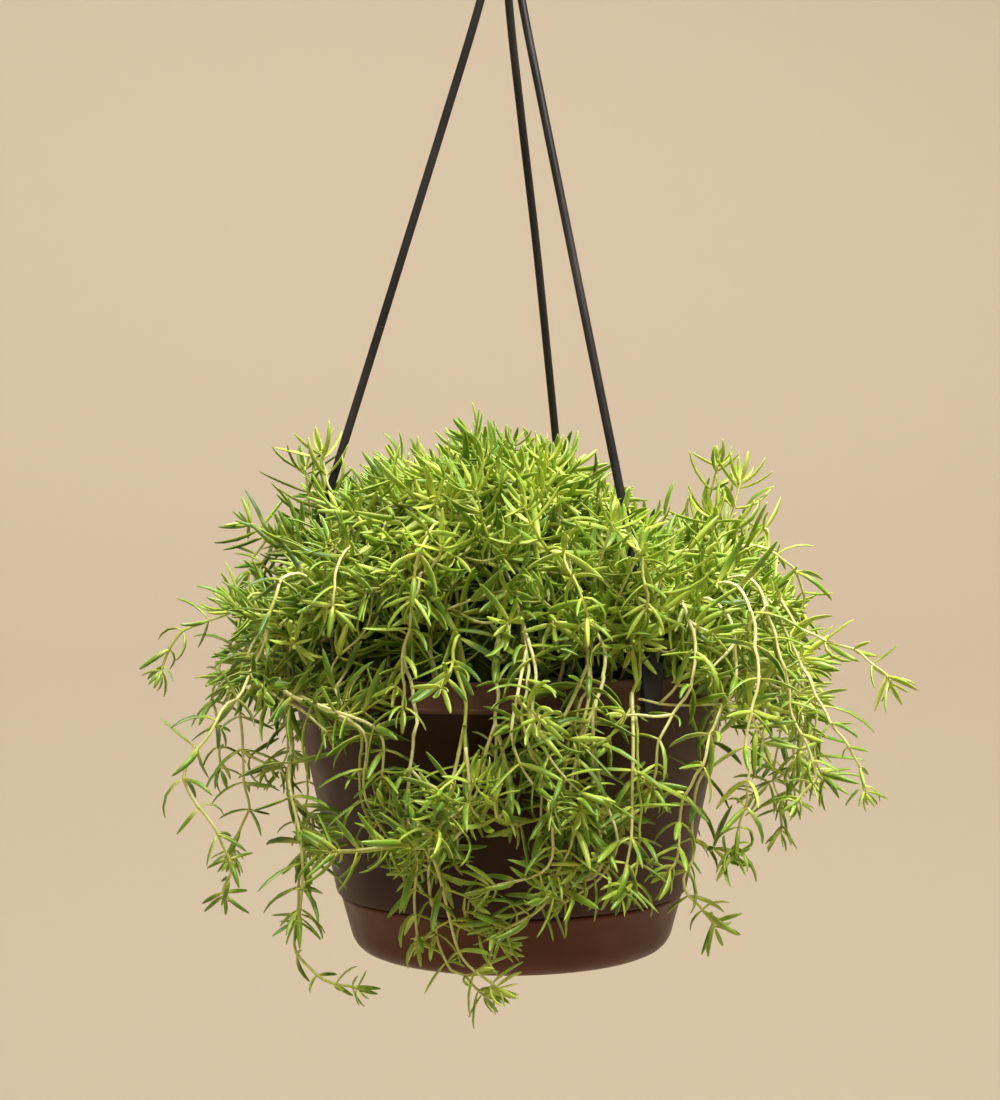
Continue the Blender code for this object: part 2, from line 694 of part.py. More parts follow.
def make_pot(group, cutters):
    """The basket: a turned wall with a rim band, a neck with a snap bead, a foot ring and a drained floor."""
    rim_inside = RIM_RADIUS - WALL
    profile = [
        (0.0, FLOOR_HEIGHT + WALL),
        (FLOOR_RADIUS, FLOOR_HEIGHT + WALL),
        (NECK_RADIUS - WALL, SKIRT_HEIGHT + WALL),
        (SKIRT_RADIUS - WALL, SKIRT_HEIGHT + WALL),
        (WALL_TOP_RADIUS - WALL, BAND_BOTTOM),
        (rim_inside, BAND_BOTTOM + WALL),
        (rim_inside, RIM_TOP),
        (RIM_RADIUS, RIM_TOP),
        (RIM_RADIUS, BAND_BOTTOM),
        (WALL_TOP_RADIUS, BAND_BOTTOM),
        (SKIRT_RADIUS, SKIRT_HEIGHT),
        (NECK_RADIUS, SKIRT_HEIGHT),
        (NECK_RADIUS, SNAP_HEIGHT + 0.2),
        (SNAP_RADIUS, SNAP_HEIGHT),
        (SNAP_RADIUS - 2.0, SNAP_HEIGHT - 1.8),
        (FOOT_RADIUS, FOOT_HEIGHT),
        (FOOT_RADIUS - 3.0, FOOT_HEIGHT),
        (FOOT_RADIUS - 3.0, FLOOR_HEIGHT),
        (0.0, FLOOR_HEIGHT),
    ]
    pot = turned("pot", profile, TURN_STEPS, group)
    drains = []
    for i in range(DRAIN_HOLES):
        middle = spot(45 + i * 360 / DRAIN_HOLES, DRAIN_CIRCLE, FLOOR_HEIGHT)
        depth = Vector((0, 0, 2 * WALL)) * MM
        drains.append(cylinder("drain", DRAIN_RADIUS, middle - depth, middle + depth, DRAIN_SIDES, cutters))
    combine(pot, drains, "DIFFERENCE")
    return pot


def make_saucer(group):
    """The drip saucer, whose inner bead sits on the pot's snap bead."""
    profile = [
        (0.0, SAUCER_FLOOR),
        (FOOT_RADIUS + 0.6, SAUCER_FLOOR),
        (88.0, 12.0),
        (SNAP_RADIUS + 0.5, SNAP_HEIGHT + 0.5),
        (SNAP_RADIUS - 0.55, SNAP_HEIGHT + 0.6),
        (SNAP_RADIUS - 0.55, SNAP_HEIGHT + 2.2),
        (SAUCER_LIP_RADIUS - 2.0, SNAP_HEIGHT + 4.0),
        (SAUCER_LIP_RADIUS - 2.0, SAUCER_LIP_HEIGHT),
        (SAUCER_LIP_RADIUS, SAUCER_LIP_HEIGHT),
        (90.0, 12.0),
        (88.2, 5.0),
        (84.6, 1.2),
        (78.6, 0.0),
        (0.0, 0.0),
    ]
    return turned("saucer", profile, TURN_STEPS, group)


def make_soil(group, cutters, roots):
    """The potting mix, with a plain hole for each stem."""
    profile = [
        (0.0, SOIL_TOP),
        (WALL_TOP_RADIUS - WALL - GAP - 0.3, SOIL_TOP),
        (SKIRT_RADIUS - WALL - GAP, SKIRT_HEIGHT + WALL + GAP),
        (NECK_RADIUS - WALL - GAP, SKIRT_HEIGHT + WALL + GAP),
        (FLOOR_RADIUS - GAP, FLOOR_HEIGHT + WALL + GAP),
        (0.0, FLOOR_HEIGHT + WALL + GAP),
    ]
    soil = turned("soil", profile, TURN_STEPS, group)
    holes = []
    for root in roots:
        bottom = Vector((root.x, root.y, (SOIL_TOP - HOLE_DEPTH) * MM))
        top = Vector((root.x, root.y, (SOIL_TOP + HOLE_DEPTH) * MM))
        holes.append(cylinder("hole", STEM_RADIUS + HOLE_CLEARANCE, bottom, top, HOLE_SIDES, cutters))
    combine(soil, holes, "DIFFERENCE")
    return soil


def strand_route(name):
    """A strand's points, from its clip up into the hub."""
    turn = STRAND_TURNS[name]
    points = []
    for radius, height in STRAND_PATH:
        climbed = max(0.0, (height - TWIST_START) / (HUB_BOTTOM - TWIST_START))
        twist = BACK_STRAND_TWIST * climbed**4 if name == "strand_back" else 0.0
        points.append(spot(turn + twist, radius, height))
    return points


def make_clip(turn, group):
    """The clip at a strand's foot: a hook-shaped plate over the pot's rim."""
    inside = (RIM_RADIUS - WALL) * math.cos(math.pi / TURN_STEPS) - GAP - 0.2
    outside = RIM_RADIUS + GAP
    outline = (
        (outside, CLIP_BOTTOM),
        (outside + CLIP_WALL - 0.5, CLIP_BOTTOM),
        (outside + CLIP_WALL, RIM_TOP),
        (outside + CLIP_WALL, CLIP_TOP),
        (outside - 1.0, CLIP_TOP),
        (inside - CLIP_WALL, RIM_TOP + GAP + CLIP_WALL),
        (inside - CLIP_WALL, CLIP_INNER_LEG),
        (inside, CLIP_INNER_LEG),
        (inside, RIM_TOP + GAP),
        (outside, RIM_TOP + GAP),
    )
    curve = bpy.data.curves.new("clip", "CURVE")
    curve.dimensions = "2D"
    curve.fill_mode = "BOTH"
    curve.extrude = CLIP_WIDTH / 2 * MM
    spline = curve.splines.new("POLY")
    spline.points.add(len(outline) - 1)
    for point, (radius, height) in zip(spline.points, outline):
        point.co = (radius * MM, height * MM, 0.0, 1.0)
    spline.use_cyclic_u = True
    source = bpy.data.objects.new("clip_curve", curve)
    group.objects.link(source)
    evaluated = source.evaluated_get(bpy.context.evaluated_depsgraph_get())
    mesh = bpy.data.meshes.new_from_object(evaluated)
    shape = bmesh.new()
    shape.from_mesh(mesh)
    bmesh.ops.remove_doubles(shape, verts=shape.verts, dist=0.00001)
    for vert in shape.verts:
        if vert.co.y < (RIM_TOP - 1.0) * MM:
            vert.co.z *= CLIP_TAPER
    stand = Matrix.Rotation(math.radians(turn - 90), 4, "Z") @ Matrix.Rotation(math.radians(90), 4, "X")
    bmesh.ops.transform(shape, matrix=stand, verts=shape.verts)
    bmesh.ops.recalc_face_normals(shape, faces=shape.faces)
    shape.to_mesh(mesh)
    shape.free()
    bpy.data.objects.remove(source, do_unlink=True)
    return mesh_object("clip", mesh, group)


def make_strand(name, group):
    """One hanger strand with its clip."""
    path = smooth_path(strand_route(name), STRAND_STEP)
    strand = round_tube(name, path, STRAND_RADIUS, WIRE_RESOLUTION, group)
    combine(strand, [make_clip(STRAND_TURNS[name], group)], "UNION")
    return strand


def make_hook(group, cutters):
    """The hub that takes the strands, with the hook that rises from it."""
    profile = (
        (0.0, HUB_TOP),
        (HUB_SHOULDER, HUB_TOP),
        (HUB_RADIUS, HUB_TOP - 6),
        (HUB_RADIUS, HUB_BOTTOM),
        (0.0, HUB_BOTTOM),
    )
    hub = turned("hanger_hook", profile, HUB_SIDES, group)
    bend = HOOK_BORE + HOOK_WIRE
    centre = HANG_HEIGHT - HOOK_BORE
    points = [Vector((0, 0, HUB_TOP - 4)) * MM, Vector((0.5, 0, HUB_TOP + 1)) * MM]
    for step in range(HOOK_STEPS + 1):
        angle = math.radians(HOOK_START + step * HOOK_SWEEP / HOOK_STEPS)
        points.append(Vector((bend * math.cos(angle), 0, centre + bend * math.sin(angle))) * MM)
    combine(hub, [round_tube("wire", points, HOOK_WIRE, WIRE_RESOLUTION, group)], "UNION")
    sockets = []
    for name in STRAND_TURNS:
        path = smooth_path(strand_route(name), STRAND_STEP)
        along = (path[-1] - path[-2]).normalized()
        end = path[-1] + along * (GAP * MM)
        start = end - along * (SOCKET_DEPTH * MM)
        sockets.append(cylinder("socket", STRAND_RADIUS + GAP, start, end, SOCKET_SIDES, cutters))
    combine(hub, sockets, "DIFFERENCE")
    return hub


def make_stems(group, section, around, routes):
    """Every stem outside the crown: first all of them bare, then their leaves."""
    stems = []
    for name, route in routes.items():
        whorls = whorl_places(route, BARE_LENGTH, WHORL_SPACING)
        stem = bare_stem(name, route, whorls, section, group)
        around.add_object(name, stem)
        stems.append((name, stem, route, whorls))
    for name, stem, route, whorls in stems:
        draw_leaves(name, stem, route, whorls, around, random.Random(name))


def make_crown(group, section, around):
    """The crown: its core, the roots it stands on, and leafy shoots all over."""
    rng = random.Random(SEED)
    crown = crown_core(group)
    around.add_object("crown", crown)
    pieces = []
    for root in crown_roots():
        foot = Route([root, root + Vector((0, 0, ROOT_LENGTH)) * MM])
        pieces.append(bare_stem("crown_root", foot, [ROOT_LENGTH / 2], section, group))
    shoots = []
    for i, route in enumerate(crown_shoots(rng)):
        whorls = whorl_places(route, SHOOT_BARE, SHOOT_SPACING)
        shoot = bare_stem(f"shoot_{i}", route, whorls, section, group)
        faces = [tuple(face.vertices) for face in shoot.data.polygons]
        if around.free([vert.co for vert in shoot.data.vertices], faces, owner="crown"):
            around.add_object(shoot.name, shoot)
            shoots.append((shoot, route, whorls))
        else:
            bpy.data.objects.remove(shoot, do_unlink=True)
    for shoot, route, whorls in shoots:
        draw_leaves(shoot.name, shoot, route, whorls, around, rng)
        pieces.append(shoot)
    combine(crown, pieces, "UNION", "MANIFOLD")


def finish_name(name):
    """The finish that a piece has."""
    if name in PALE_STEMS:
        return "sedum_pale"
    if name in BROWN_STEMS:
        return "sedum_brown"
    return HARD_FINISHES.get(name, "sedum_green")


def finish_parts(group):
    """Give each piece its finish, shade the round ones smooth and hang them all from the origin."""
    base = bpy.data.objects.new("basket_base", None)
    base.location.z = -HANG_HEIGHT * MM
    materials = {name: new_material(name, *finish) for name, finish in FINISHES.items()}
    for obj in list(group.objects):
        obj.data.materials.clear()
        obj.data.materials.append(materials[finish_name(obj.name)])
        if obj.name in HARD_FINISHES:
            obj.data.shade_smooth()
            obj.data.set_sharp_from_angle(angle=math.radians(SMOOTH_ANGLE))
        obj.parent = base
    group.objects.link(base)


def main():
    """Model the pot, the hanger and the plant."""
    clear_scene()
    parts = new_collection(OBJECT_NAME)
    guides = new_collection("guides")
    routes = stem_routes()
    make_pot(parts, guides)
    make_saucer(parts)
    make_soil(parts, guides, crown_roots() + [route.points[0] for route in routes.values()])
    make_hook(parts, guides)
    for name in STRAND_TURNS:
        make_strand(name, parts)
    around = Surroundings()
    for obj in parts.objects:
        around.add_object(obj.name, obj)
    section = stem_section(guides)
    make_stems(parts, section, around, routes)
    make_crown(parts, section, around)
    finish_parts(parts)


main()
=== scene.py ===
"""Dresses the hanging basket of trailing sedum: pot, saucer, soil, hanger, stems and leaves, and a studio.

Sizes are millimetres, and heights are measured from the underside of the saucer, but where the text says metres.
The object hangs from the world origin. A place round the pot is given by its turn in degrees from the front (-Y)
towards +X, its distance from the pot's axis, and its height.
"""

import sys
import bisect
import logging
import math
import random
from collections.abc import Callable
from dataclasses import dataclass, field
from enum import Enum

import bpy
import numpy as np
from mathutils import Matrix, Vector, noise


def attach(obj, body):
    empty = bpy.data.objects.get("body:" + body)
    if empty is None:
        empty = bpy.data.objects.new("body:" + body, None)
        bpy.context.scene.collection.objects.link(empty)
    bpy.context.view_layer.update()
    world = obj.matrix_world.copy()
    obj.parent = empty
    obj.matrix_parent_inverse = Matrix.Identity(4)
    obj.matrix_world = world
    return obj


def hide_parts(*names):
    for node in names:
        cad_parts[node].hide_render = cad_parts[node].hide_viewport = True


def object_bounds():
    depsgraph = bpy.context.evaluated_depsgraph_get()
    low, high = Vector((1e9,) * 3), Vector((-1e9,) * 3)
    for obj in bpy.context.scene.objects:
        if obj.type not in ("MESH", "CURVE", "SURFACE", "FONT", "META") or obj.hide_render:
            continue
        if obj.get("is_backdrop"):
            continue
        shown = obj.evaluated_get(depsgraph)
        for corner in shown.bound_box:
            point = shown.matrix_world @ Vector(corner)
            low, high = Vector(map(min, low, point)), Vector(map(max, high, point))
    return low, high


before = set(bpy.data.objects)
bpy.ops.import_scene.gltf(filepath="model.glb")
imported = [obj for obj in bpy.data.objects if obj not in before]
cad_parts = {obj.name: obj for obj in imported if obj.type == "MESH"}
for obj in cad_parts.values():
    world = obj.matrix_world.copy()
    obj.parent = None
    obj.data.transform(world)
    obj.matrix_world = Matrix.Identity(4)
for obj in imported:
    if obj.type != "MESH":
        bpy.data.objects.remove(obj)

MM = 0.001
HANG_HEIGHT = 640.0  # from the saucer's underside up to where the hook bears
ROOT_HEIGHT = 129.0  # foot, inside the soil, of the stems that the CAD leaves out
GOLDEN_TURN = 137.508  # degrees from one copy to the next that spread them evenly round
SPREADS = (0.618034, 0.7548777, 0.5698403)  # steps that spread copies evenly along a line
Place = tuple[float, float, float]
Colour = tuple[float, float, float]
Pattern = tuple[np.ndarray, list[tuple[int, ...]]]
log = logging.getLogger("basket")


def level(height: float) -> float:
    """A height as the scene has it, in metres."""
    return (height - HANG_HEIGHT) * MM


def spot(turn: float, radius: float, height: float) -> Vector:
    """A place round the pot, in metres."""
    angle = math.radians(turn)
    return Vector((radius * math.sin(angle), -radius * math.cos(angle), height - HANG_HEIGHT)) * MM


def seen_place(x: float, y: float, height: float) -> Vector:
    """A place given by its x, y and height, in metres."""
    return Vector((x, y, height - HANG_HEIGHT)) * MM


def linear(red: int, green: int, blue: int) -> Colour:
    """A colour from its screen values, 0 to 255."""
    shares = (value / 255 for value in (red, green, blue))
    return tuple(((s + 0.055) / 1.055) ** 2.4 if s > 0.04045 else s / 12.92 for s in shares)


# ---------------------------------------------------------------- modelling by hand


class Bench:
    """The modelling moves that several pieces share."""

    @staticmethod
    def clear() -> None:
        """Deselect everything."""
        if bpy.context.object and bpy.context.object.mode != "OBJECT":
            bpy.ops.object.mode_set(mode="OBJECT")
        bpy.ops.object.select_all(action="DESELECT")

    @staticmethod
    def pick(*pieces: bpy.types.Object) -> None:
        """Select these pieces only, the first one active.

        Args:
            pieces: the pieces.
        """
        Bench.clear()
        for piece in pieces:
            piece.select_set(True)
        bpy.context.view_layer.objects.active = pieces[0]

    @staticmethod
    def turn(name: str, profile: list[tuple[float, float]], steps: int) -> bpy.types.Object:
        """Draw a ring out through the profile's points and close both ends on the axis.

        Args:
            name: the piece's name.
            profile: distance from the axis and height of each point; the first and the last are on the axis.
            steps: faces round the axis.

        Returns:
            The turned piece, closed, with its faces outward.
        """
        Bench.clear()
        ring = profile[1]
        bpy.ops.mesh.primitive_circle_add(vertices=steps, radius=ring[0] * MM, fill_type="NOTHING")
        piece = bpy.context.object
        piece.name = piece.data.name = name
        bpy.ops.object.mode_set(mode="EDIT")
        bpy.ops.mesh.select_mode(type="VERT")
        bpy.ops.mesh.select_all(action="SELECT")
        bpy.ops.transform.translate(value=(0, 0, level(ring[1])))
        for radius, height in profile[2:-1]:
            Bench.draw_ring(radius / ring[0], height - ring[1])
            ring = (radius, height)
        Bench.draw_ring(0.5, profile[-1][1] - ring[1])
        bpy.ops.mesh.merge(type="CENTER")
        bpy.ops.mesh.select_all(action="DESELECT")
        bpy.ops.mesh.select_mode(type="VERT")
        bpy.ops.mesh.select_non_manifold()
        Bench.draw_ring(0.5, profile[0][1] - profile[1][1])
        bpy.ops.mesh.merge(type="CENTER")
        Bench.close()
        return piece

    @staticmethod
    def draw_out(x: float, y: float, z: float) -> None:
        """Extrude what is picked, by a step in metres."""
        bpy.ops.mesh.extrude_region_move(TRANSFORM_OT_translate={"value": (x, y, z)})

    @staticmethod
    def close(inside: bool = False) -> None:
        """Turn every face outward, or inward, and leave edit mode.

        Args:
            inside: turns the faces inward.
        """
        bpy.ops.mesh.select_all(action="SELECT")
        bpy.ops.mesh.normals_make_consistent(inside=inside)
        bpy.ops.object.mode_set(mode="OBJECT")

    @staticmethod
    def draw_ring(scale: float, rise: float) -> None:
        """Extrude the picked ring upward and scale it about the axis.

        Args:
            scale: the new radius as a share of the old one.
            rise: millimetres upward.
        """
        Bench.draw_out(0, 0, rise * MM)
        if abs(scale - 1) > 1e-6:
            bpy.ops.transform.resize(value=(scale, scale, 1), center_override=(0, 0, 0))

    @staticmethod
    def pick_verts(piece: bpy.types.Object, test: Callable[[Vector], bool]) -> None:
        """Select the vertices that pass a test on their place.

        Args:
            piece: the piece, in edit mode.
            test: takes a vertex's place.
        """
        bpy.ops.mesh.select_mode(type="VERT")
        bpy.ops.mesh.select_all(action="DESELECT")
        bpy.ops.object.mode_set(mode="OBJECT")
        for vert in piece.data.vertices:
            vert.select = bool(test(vert.co))
        bpy.ops.object.mode_set(mode="EDIT")

    @staticmethod
    def pick_faces(piece: bpy.types.Object, way: Place, test: Callable[[Vector], bool]) -> None:
        """Select the faces that look one way and pass a test on their centre.

        Args:
            piece: the piece, in edit mode.
            way: the direction that the faces look in, within 45 degrees.
            test: takes a face's centre.
        """
        bpy.ops.mesh.select_mode(type="FACE")
        bpy.ops.mesh.select_all(action="DESELECT")
        bpy.ops.object.mode_set(mode="OBJECT")
        for face in piece.data.polygons:
            face.select = face.normal.dot(Vector(way)) > 0.7 and bool(test(face.center))
        bpy.ops.object.mode_set(mode="EDIT")

    @staticmethod
    def round_edges(piece: bpy.types.Object, width: float, segments: int = 2, angle: float = 28.0) -> None:
        """Round every edge that is sharper than the angle.

        Args:
            piece: the piece to work on.
            width: the rounding's width in millimetres.
            segments: faces across it.
            angle: degrees.
        """
        Bench.pick(piece)
        bevel = piece.modifiers.new("rounding", "BEVEL")
        bevel.width = width * MM
        bevel.segments = segments
        bevel.limit_method = "ANGLE"
        bevel.angle_limit = math.radians(angle)
        bpy.ops.object.modifier_apply(modifier=bevel.name)

    @staticmethod
    def cut(piece: bpy.types.Object, cutter: bpy.types.Object) -> None:
        """Cut one shape out of a piece and remove the cutter.

        Args:
            piece: the piece to work on.
            cutter: the shape to cut out.
        """
        Bench.pick(piece)
        boolean = piece.modifiers.new("cut", "BOOLEAN")
        boolean.operation = "DIFFERENCE"
        boolean.solver = "EXACT"
        boolean.object = cutter
        bpy.ops.object.modifier_apply(modifier=boolean.name)
        bpy.data.objects.remove(cutter, do_unlink=True)

    @staticmethod
    def shade(piece: bpy.types.Object, angle: float = 38.0) -> None:
        """Shade smooth but for the edges sharper than the angle."""
        Bench.pick(piece)
        bpy.ops.object.shade_smooth_by_angle(angle=math.radians(angle))

    @staticmethod
    def settle(piece: bpy.types.Object) -> None:
        """Put the object at the origin, unturned and unscaled, with its place in its mesh."""
        Bench.pick(piece)
        bpy.ops.object.transform_apply(location=True, rotation=True, scale=True)

    @staticmethod
    def join(pieces: list[bpy.types.Object]) -> bpy.types.Object:
        """Join pieces into the first one.

        Args:
            pieces: the pieces.

        Returns:
            The first piece.
        """
        Bench.pick(*pieces)
        if len(pieces) > 1:
            bpy.ops.object.join()
        return pieces[0]

    @staticmethod
    def tubes(name: str, lines: list[list[Vector]], radii: list[list[float]], roundness: int) -> bpy.types.Object:
        """Closed round tubes along lines, in one mesh.

        Args:
            name: the piece's name.
            lines: the points of each tube, in metres.
            radii: the radius at each point, in millimetres.
            roundness: the curve's bevel resolution.

        Returns:
            The piece, with its rings in the order of the lines.
        """
        Bench.clear()
        curve = bpy.data.curves.new(name, "CURVE")
        curve.dimensions = "3D"
        curve.bevel_depth = 1.0
        curve.bevel_resolution = roundness
        for line, sizes in zip(lines, radii):
            spline = curve.splines.new("POLY")
            spline.points.add(len(line) - 1)
            flat = np.ones((len(line), 4))
            flat[:, :3] = [tuple(point) for point in line]
            spline.points.foreach_set("co", flat.ravel())
            spline.points.foreach_set("radius", np.array(sizes) * MM)
        piece = bpy.data.objects.new(name, curve)
        bpy.context.scene.collection.objects.link(piece)
        Bench.pick(piece)
        bpy.ops.object.convert(target="MESH")
        piece = bpy.context.object
        bpy.ops.object.mode_set(mode="EDIT")
        bpy.ops.mesh.select_all(action="SELECT")
        bpy.ops.mesh.fill_holes(sides=0)
        Bench.close()
        return piece


# ---------------------------------------------------------------- finishes


class Board:
    """A material's node board, with short calls for the nodes that the finishes share."""

    def __init__(self, name: str) -> None:
        """Make the material, with its shader and the object's own place.

        Args:
            name: the material's name.
        """
        self.material = bpy.data.materials.new(name)
        self.material.use_nodes = True
        self.nodes = self.material.node_tree.nodes
        self.links = self.material.node_tree.links
        self.shader = self.nodes["Principled BSDF"]
        self.place = self.add("ShaderNodeTexCoord").outputs["Object"]

    def add(self, kind: str, **settings: object) -> bpy.types.Node:
        """A new node with its settings.

        Args:
            kind: the node's type.
            settings: its properties.

        Returns:
            The node.
        """
        node = self.nodes.new(kind)
        for key, value in settings.items():
            setattr(node, key, value)
        return node

    def feed(self, socket: bpy.types.NodeSocket, value: object) -> None:
        """Link an output to a socket, or set the socket's value.

        Args:
            socket: the input.
            value: an output, a number or a colour.
        """
        if isinstance(value, bpy.types.NodeSocket):
            self.links.new(value, socket)
        elif isinstance(value, tuple) and len(value) == 3 and socket.type == "RGBA":
            socket.default_value = (*value, 1.0)
        else:
            socket.default_value = value

    def grain(self, scale: float, detail: float = 3.0, stretch: Place = (1, 1, 1)) -> bpy.types.NodeSocket:
        """Soft noise on the object's own place, stretched by axis.

        Args:
            scale: how fine the noise is.
            detail: its octaves.
            stretch: its scale by axis.

        Returns:
            The noise, 0 to 1.
        """
        mapping = self.add("ShaderNodeMapping")
        self.feed(mapping.inputs["Vector"], self.place)
        mapping.inputs["Scale"].default_value = stretch
        texture = self.add("ShaderNodeTexNoise")
        self.feed(texture.inputs["Vector"], mapping.outputs["Vector"])
        texture.inputs["Scale"].default_value = scale
        texture.inputs["Detail"].default_value = detail
        return texture.outputs["Fac"]

    def cells(self, scale: float) -> bpy.types.Node:
        """Crumbs: a cell pattern on the object's own place.

        Args:
            scale: how fine the cells are.

        Returns:
            The pattern's node.
        """
        texture = self.add("ShaderNodeTexVoronoi")
        self.feed(texture.inputs["Vector"], self.place)
        texture.inputs["Scale"].default_value = scale
        return texture

    def reach(self, value: object, low: float, high: float, start: float = 0.0, end: float = 1.0) -> object:
        """Map a value from low..high to start..end.

        Args:
            value: the value.
            low: where it starts.
            high: where it ends.
            start: the result at low.
            end: the result at high.

        Returns:
            The result's output.
        """
        node = self.add("ShaderNodeMapRange")
        node.inputs["From Min"].default_value = low
        node.inputs["From Max"].default_value = high
        node.inputs["To Min"].default_value = start
        node.inputs["To Max"].default_value = end
        self.feed(node.inputs["Value"], value)
        return node.outputs["Result"]

    def maths(self, operation: str, one: object, two: object = 0.0) -> bpy.types.NodeSocket:
        """One sum on two values.

        Args:
            operation: its name.
            one: the first value.
            two: the second value.

        Returns:
            The sum's output.
        """
        node = self.add("ShaderNodeMath", operation=operation)
        self.feed(node.inputs[0], one)
        self.feed(node.inputs[1], two)
        return node.outputs[0]

    def mix(self, share: object, one: object, two: object, blend: str = "MIX") -> bpy.types.NodeSocket:
        """Two colours mixed by a share.

        Args:
            share: how much of the second.
            one: the first colour.
            two: the second colour.
            blend: the way of mixing.

        Returns:
            The mixed colour's output.
        """
        node = self.add("ShaderNodeMix", data_type="RGBA", blend_type=blend)
        self.feed(node.inputs["Factor"], share)
        self.feed(node.inputs[6], one)
        self.feed(node.inputs[7], two)
        return node.outputs[2]

    def ramp(self, share: object, stops: list[tuple[float, tuple]]) -> bpy.types.NodeSocket:
        """A colour read from stops along a share.

        Args:
            share: the value, 0 to 1.
            stops: places and their colours.

        Returns:
            The colour's output.
        """
        node = self.add("ShaderNodeValToRGB")
        band = node.color_ramp
        while len(band.elements) < len(stops):
            band.elements.new(0.5)
        for element, (position, colour) in zip(band.elements, stops):
            element.position = position
            element.color = (*colour, 1.0)
        self.feed(node.inputs["Fac"], share)
        return node.outputs["Color"]

    def growth(self) -> tuple[bpy.types.NodeSocket, ...]:
        """The growth attribute's three parts: tone, share along, and share across or nearness to a joint.

        Returns:
            Their outputs.
        """
        attribute = self.add("ShaderNodeAttribute", attribute_name="growth")
        parts = self.add("ShaderNodeSeparateXYZ")
        self.feed(parts.inputs[0], attribute.outputs["Vector"])
        return tuple(parts.outputs)

    def bump(self, height: object, strength: float, depth: float, under: object = None) -> bpy.types.NodeSocket:
        """A relief of this depth in millimetres, over another one if it is given.

        Args:
            height: the pattern.
            strength: its share.
            depth: its depth.
            under: the relief below it.

        Returns:
            The relief's normal.
        """
        node = self.add("ShaderNodeBump")
        node.inputs["Strength"].default_value = strength
        node.inputs["Distance"].default_value = depth * MM
        self.feed(node.inputs["Height"], height)
        if under is not None:
            self.feed(node.inputs["Normal"], under)
        return node.outputs["Normal"]

    def wear(self, **sockets: object) -> None:
        """Set or link the shader's sockets, named with underscores for spaces."""
        for name, value in sockets.items():
            self.feed(self.shader.inputs[name.replace("_", " ")], value)


@dataclass(frozen=True)
class MouldedPlastic:
    """Satin moulded plastic with a fine grain, slow sink marks and a little dust; above a height it is painted
    paler, as painted light on the rim band.
    """

    name: str
    deep: Colour
    light: Colour
    dull: float
    dust: float
    painted_light_height: float | None = None

    def make(self) -> bpy.types.Material:
        """The plastic as a material.

        Returns:
            The material.
        """
        board = Board(self.name)
        cloud = board.grain(16.0, 5.0)
        colour = board.mix(board.reach(cloud, 0.35, 0.68), self.deep, self.light)
        streaks = board.grain(90.0, 3.0, (1, 1, 0.08))
        colour = board.mix(board.reach(streaks, 0.5, 0.8, 0.0, 0.18), colour, self.light)
        # Painted light: above this height the rim band is painted a paler brown, as if lit from above while the
        # wall below lies in shade.
        if self.painted_light_height is not None:
            parts = board.add("ShaderNodeSeparateXYZ")
            board.feed(parts.inputs[0], board.place)
            edge = level(self.painted_light_height)
            painted_light = board.reach(parts.outputs[2], edge - 0.3 * MM, edge + 0.3 * MM, 0.0, 0.62)
            colour = board.mix(painted_light, colour, linear(104, 76, 64))
        specks = board.reach(board.grain(1150.0, 2.0), 0.70, 0.76, 0.0, self.dust)
        patches = board.reach(board.grain(22.0, 2.0), 0.46, 0.62)
        colour = board.mix(board.maths("MULTIPLY", specks, patches), colour, linear(150, 128, 108))
        rough = board.reach(board.grain(60.0, 4.0), 0.3, 0.7, self.dull - 0.05, self.dull + 0.09)
        relief = board.bump(board.grain(1400.0, 2.0), 0.16, 0.10)
        relief = board.bump(board.grain(38.0, 2.0), 0.25, 0.5, relief)
        board.wear(Base_Color=colour, Roughness=rough, Normal=relief)
        board.shader.inputs["IOR"].default_value = 1.49
        board.shader.inputs["Specular IOR Level"].default_value = 0.16
        return board.material


@dataclass(frozen=True)
class PottingMix:
    """Dark peat with bark crumbs and pale grit."""

    name: str = "potting_mix"

    def make(self) -> bpy.types.Material:
        """The mix as a material.

        Returns:
            The material.
        """
        board = Board(self.name)
        crumbs = board.cells(230.0)
        colour = board.ramp(
            board.grain(75.0, 6.0),
            [(0.3, linear(24, 16, 11)), (0.5, linear(46, 32, 22)), (0.7, linear(72, 52, 36))],
        )
        shade = board.reach(crumbs.outputs["Distance"], 0.0, 0.55, 1.0, 0.0)
        colour = board.mix(board.maths("MULTIPLY", shade, 0.35), colour, linear(88, 64, 44))
        grit = board.cells(95.0)
        pale = board.reach(grit.outputs["Distance"], 0.13, 0.17, 1.0, 0.0)
        colour = board.mix(pale, colour, linear(200, 194, 182))
        relief = board.bump(crumbs.outputs["Distance"], 0.9, 1.2)
        relief = board.bump(board.grain(600.0, 4.0), 0.6, 0.5, relief)
        board.wear(Base_Color=colour, Normal=relief, Roughness=0.95)
        return board.material


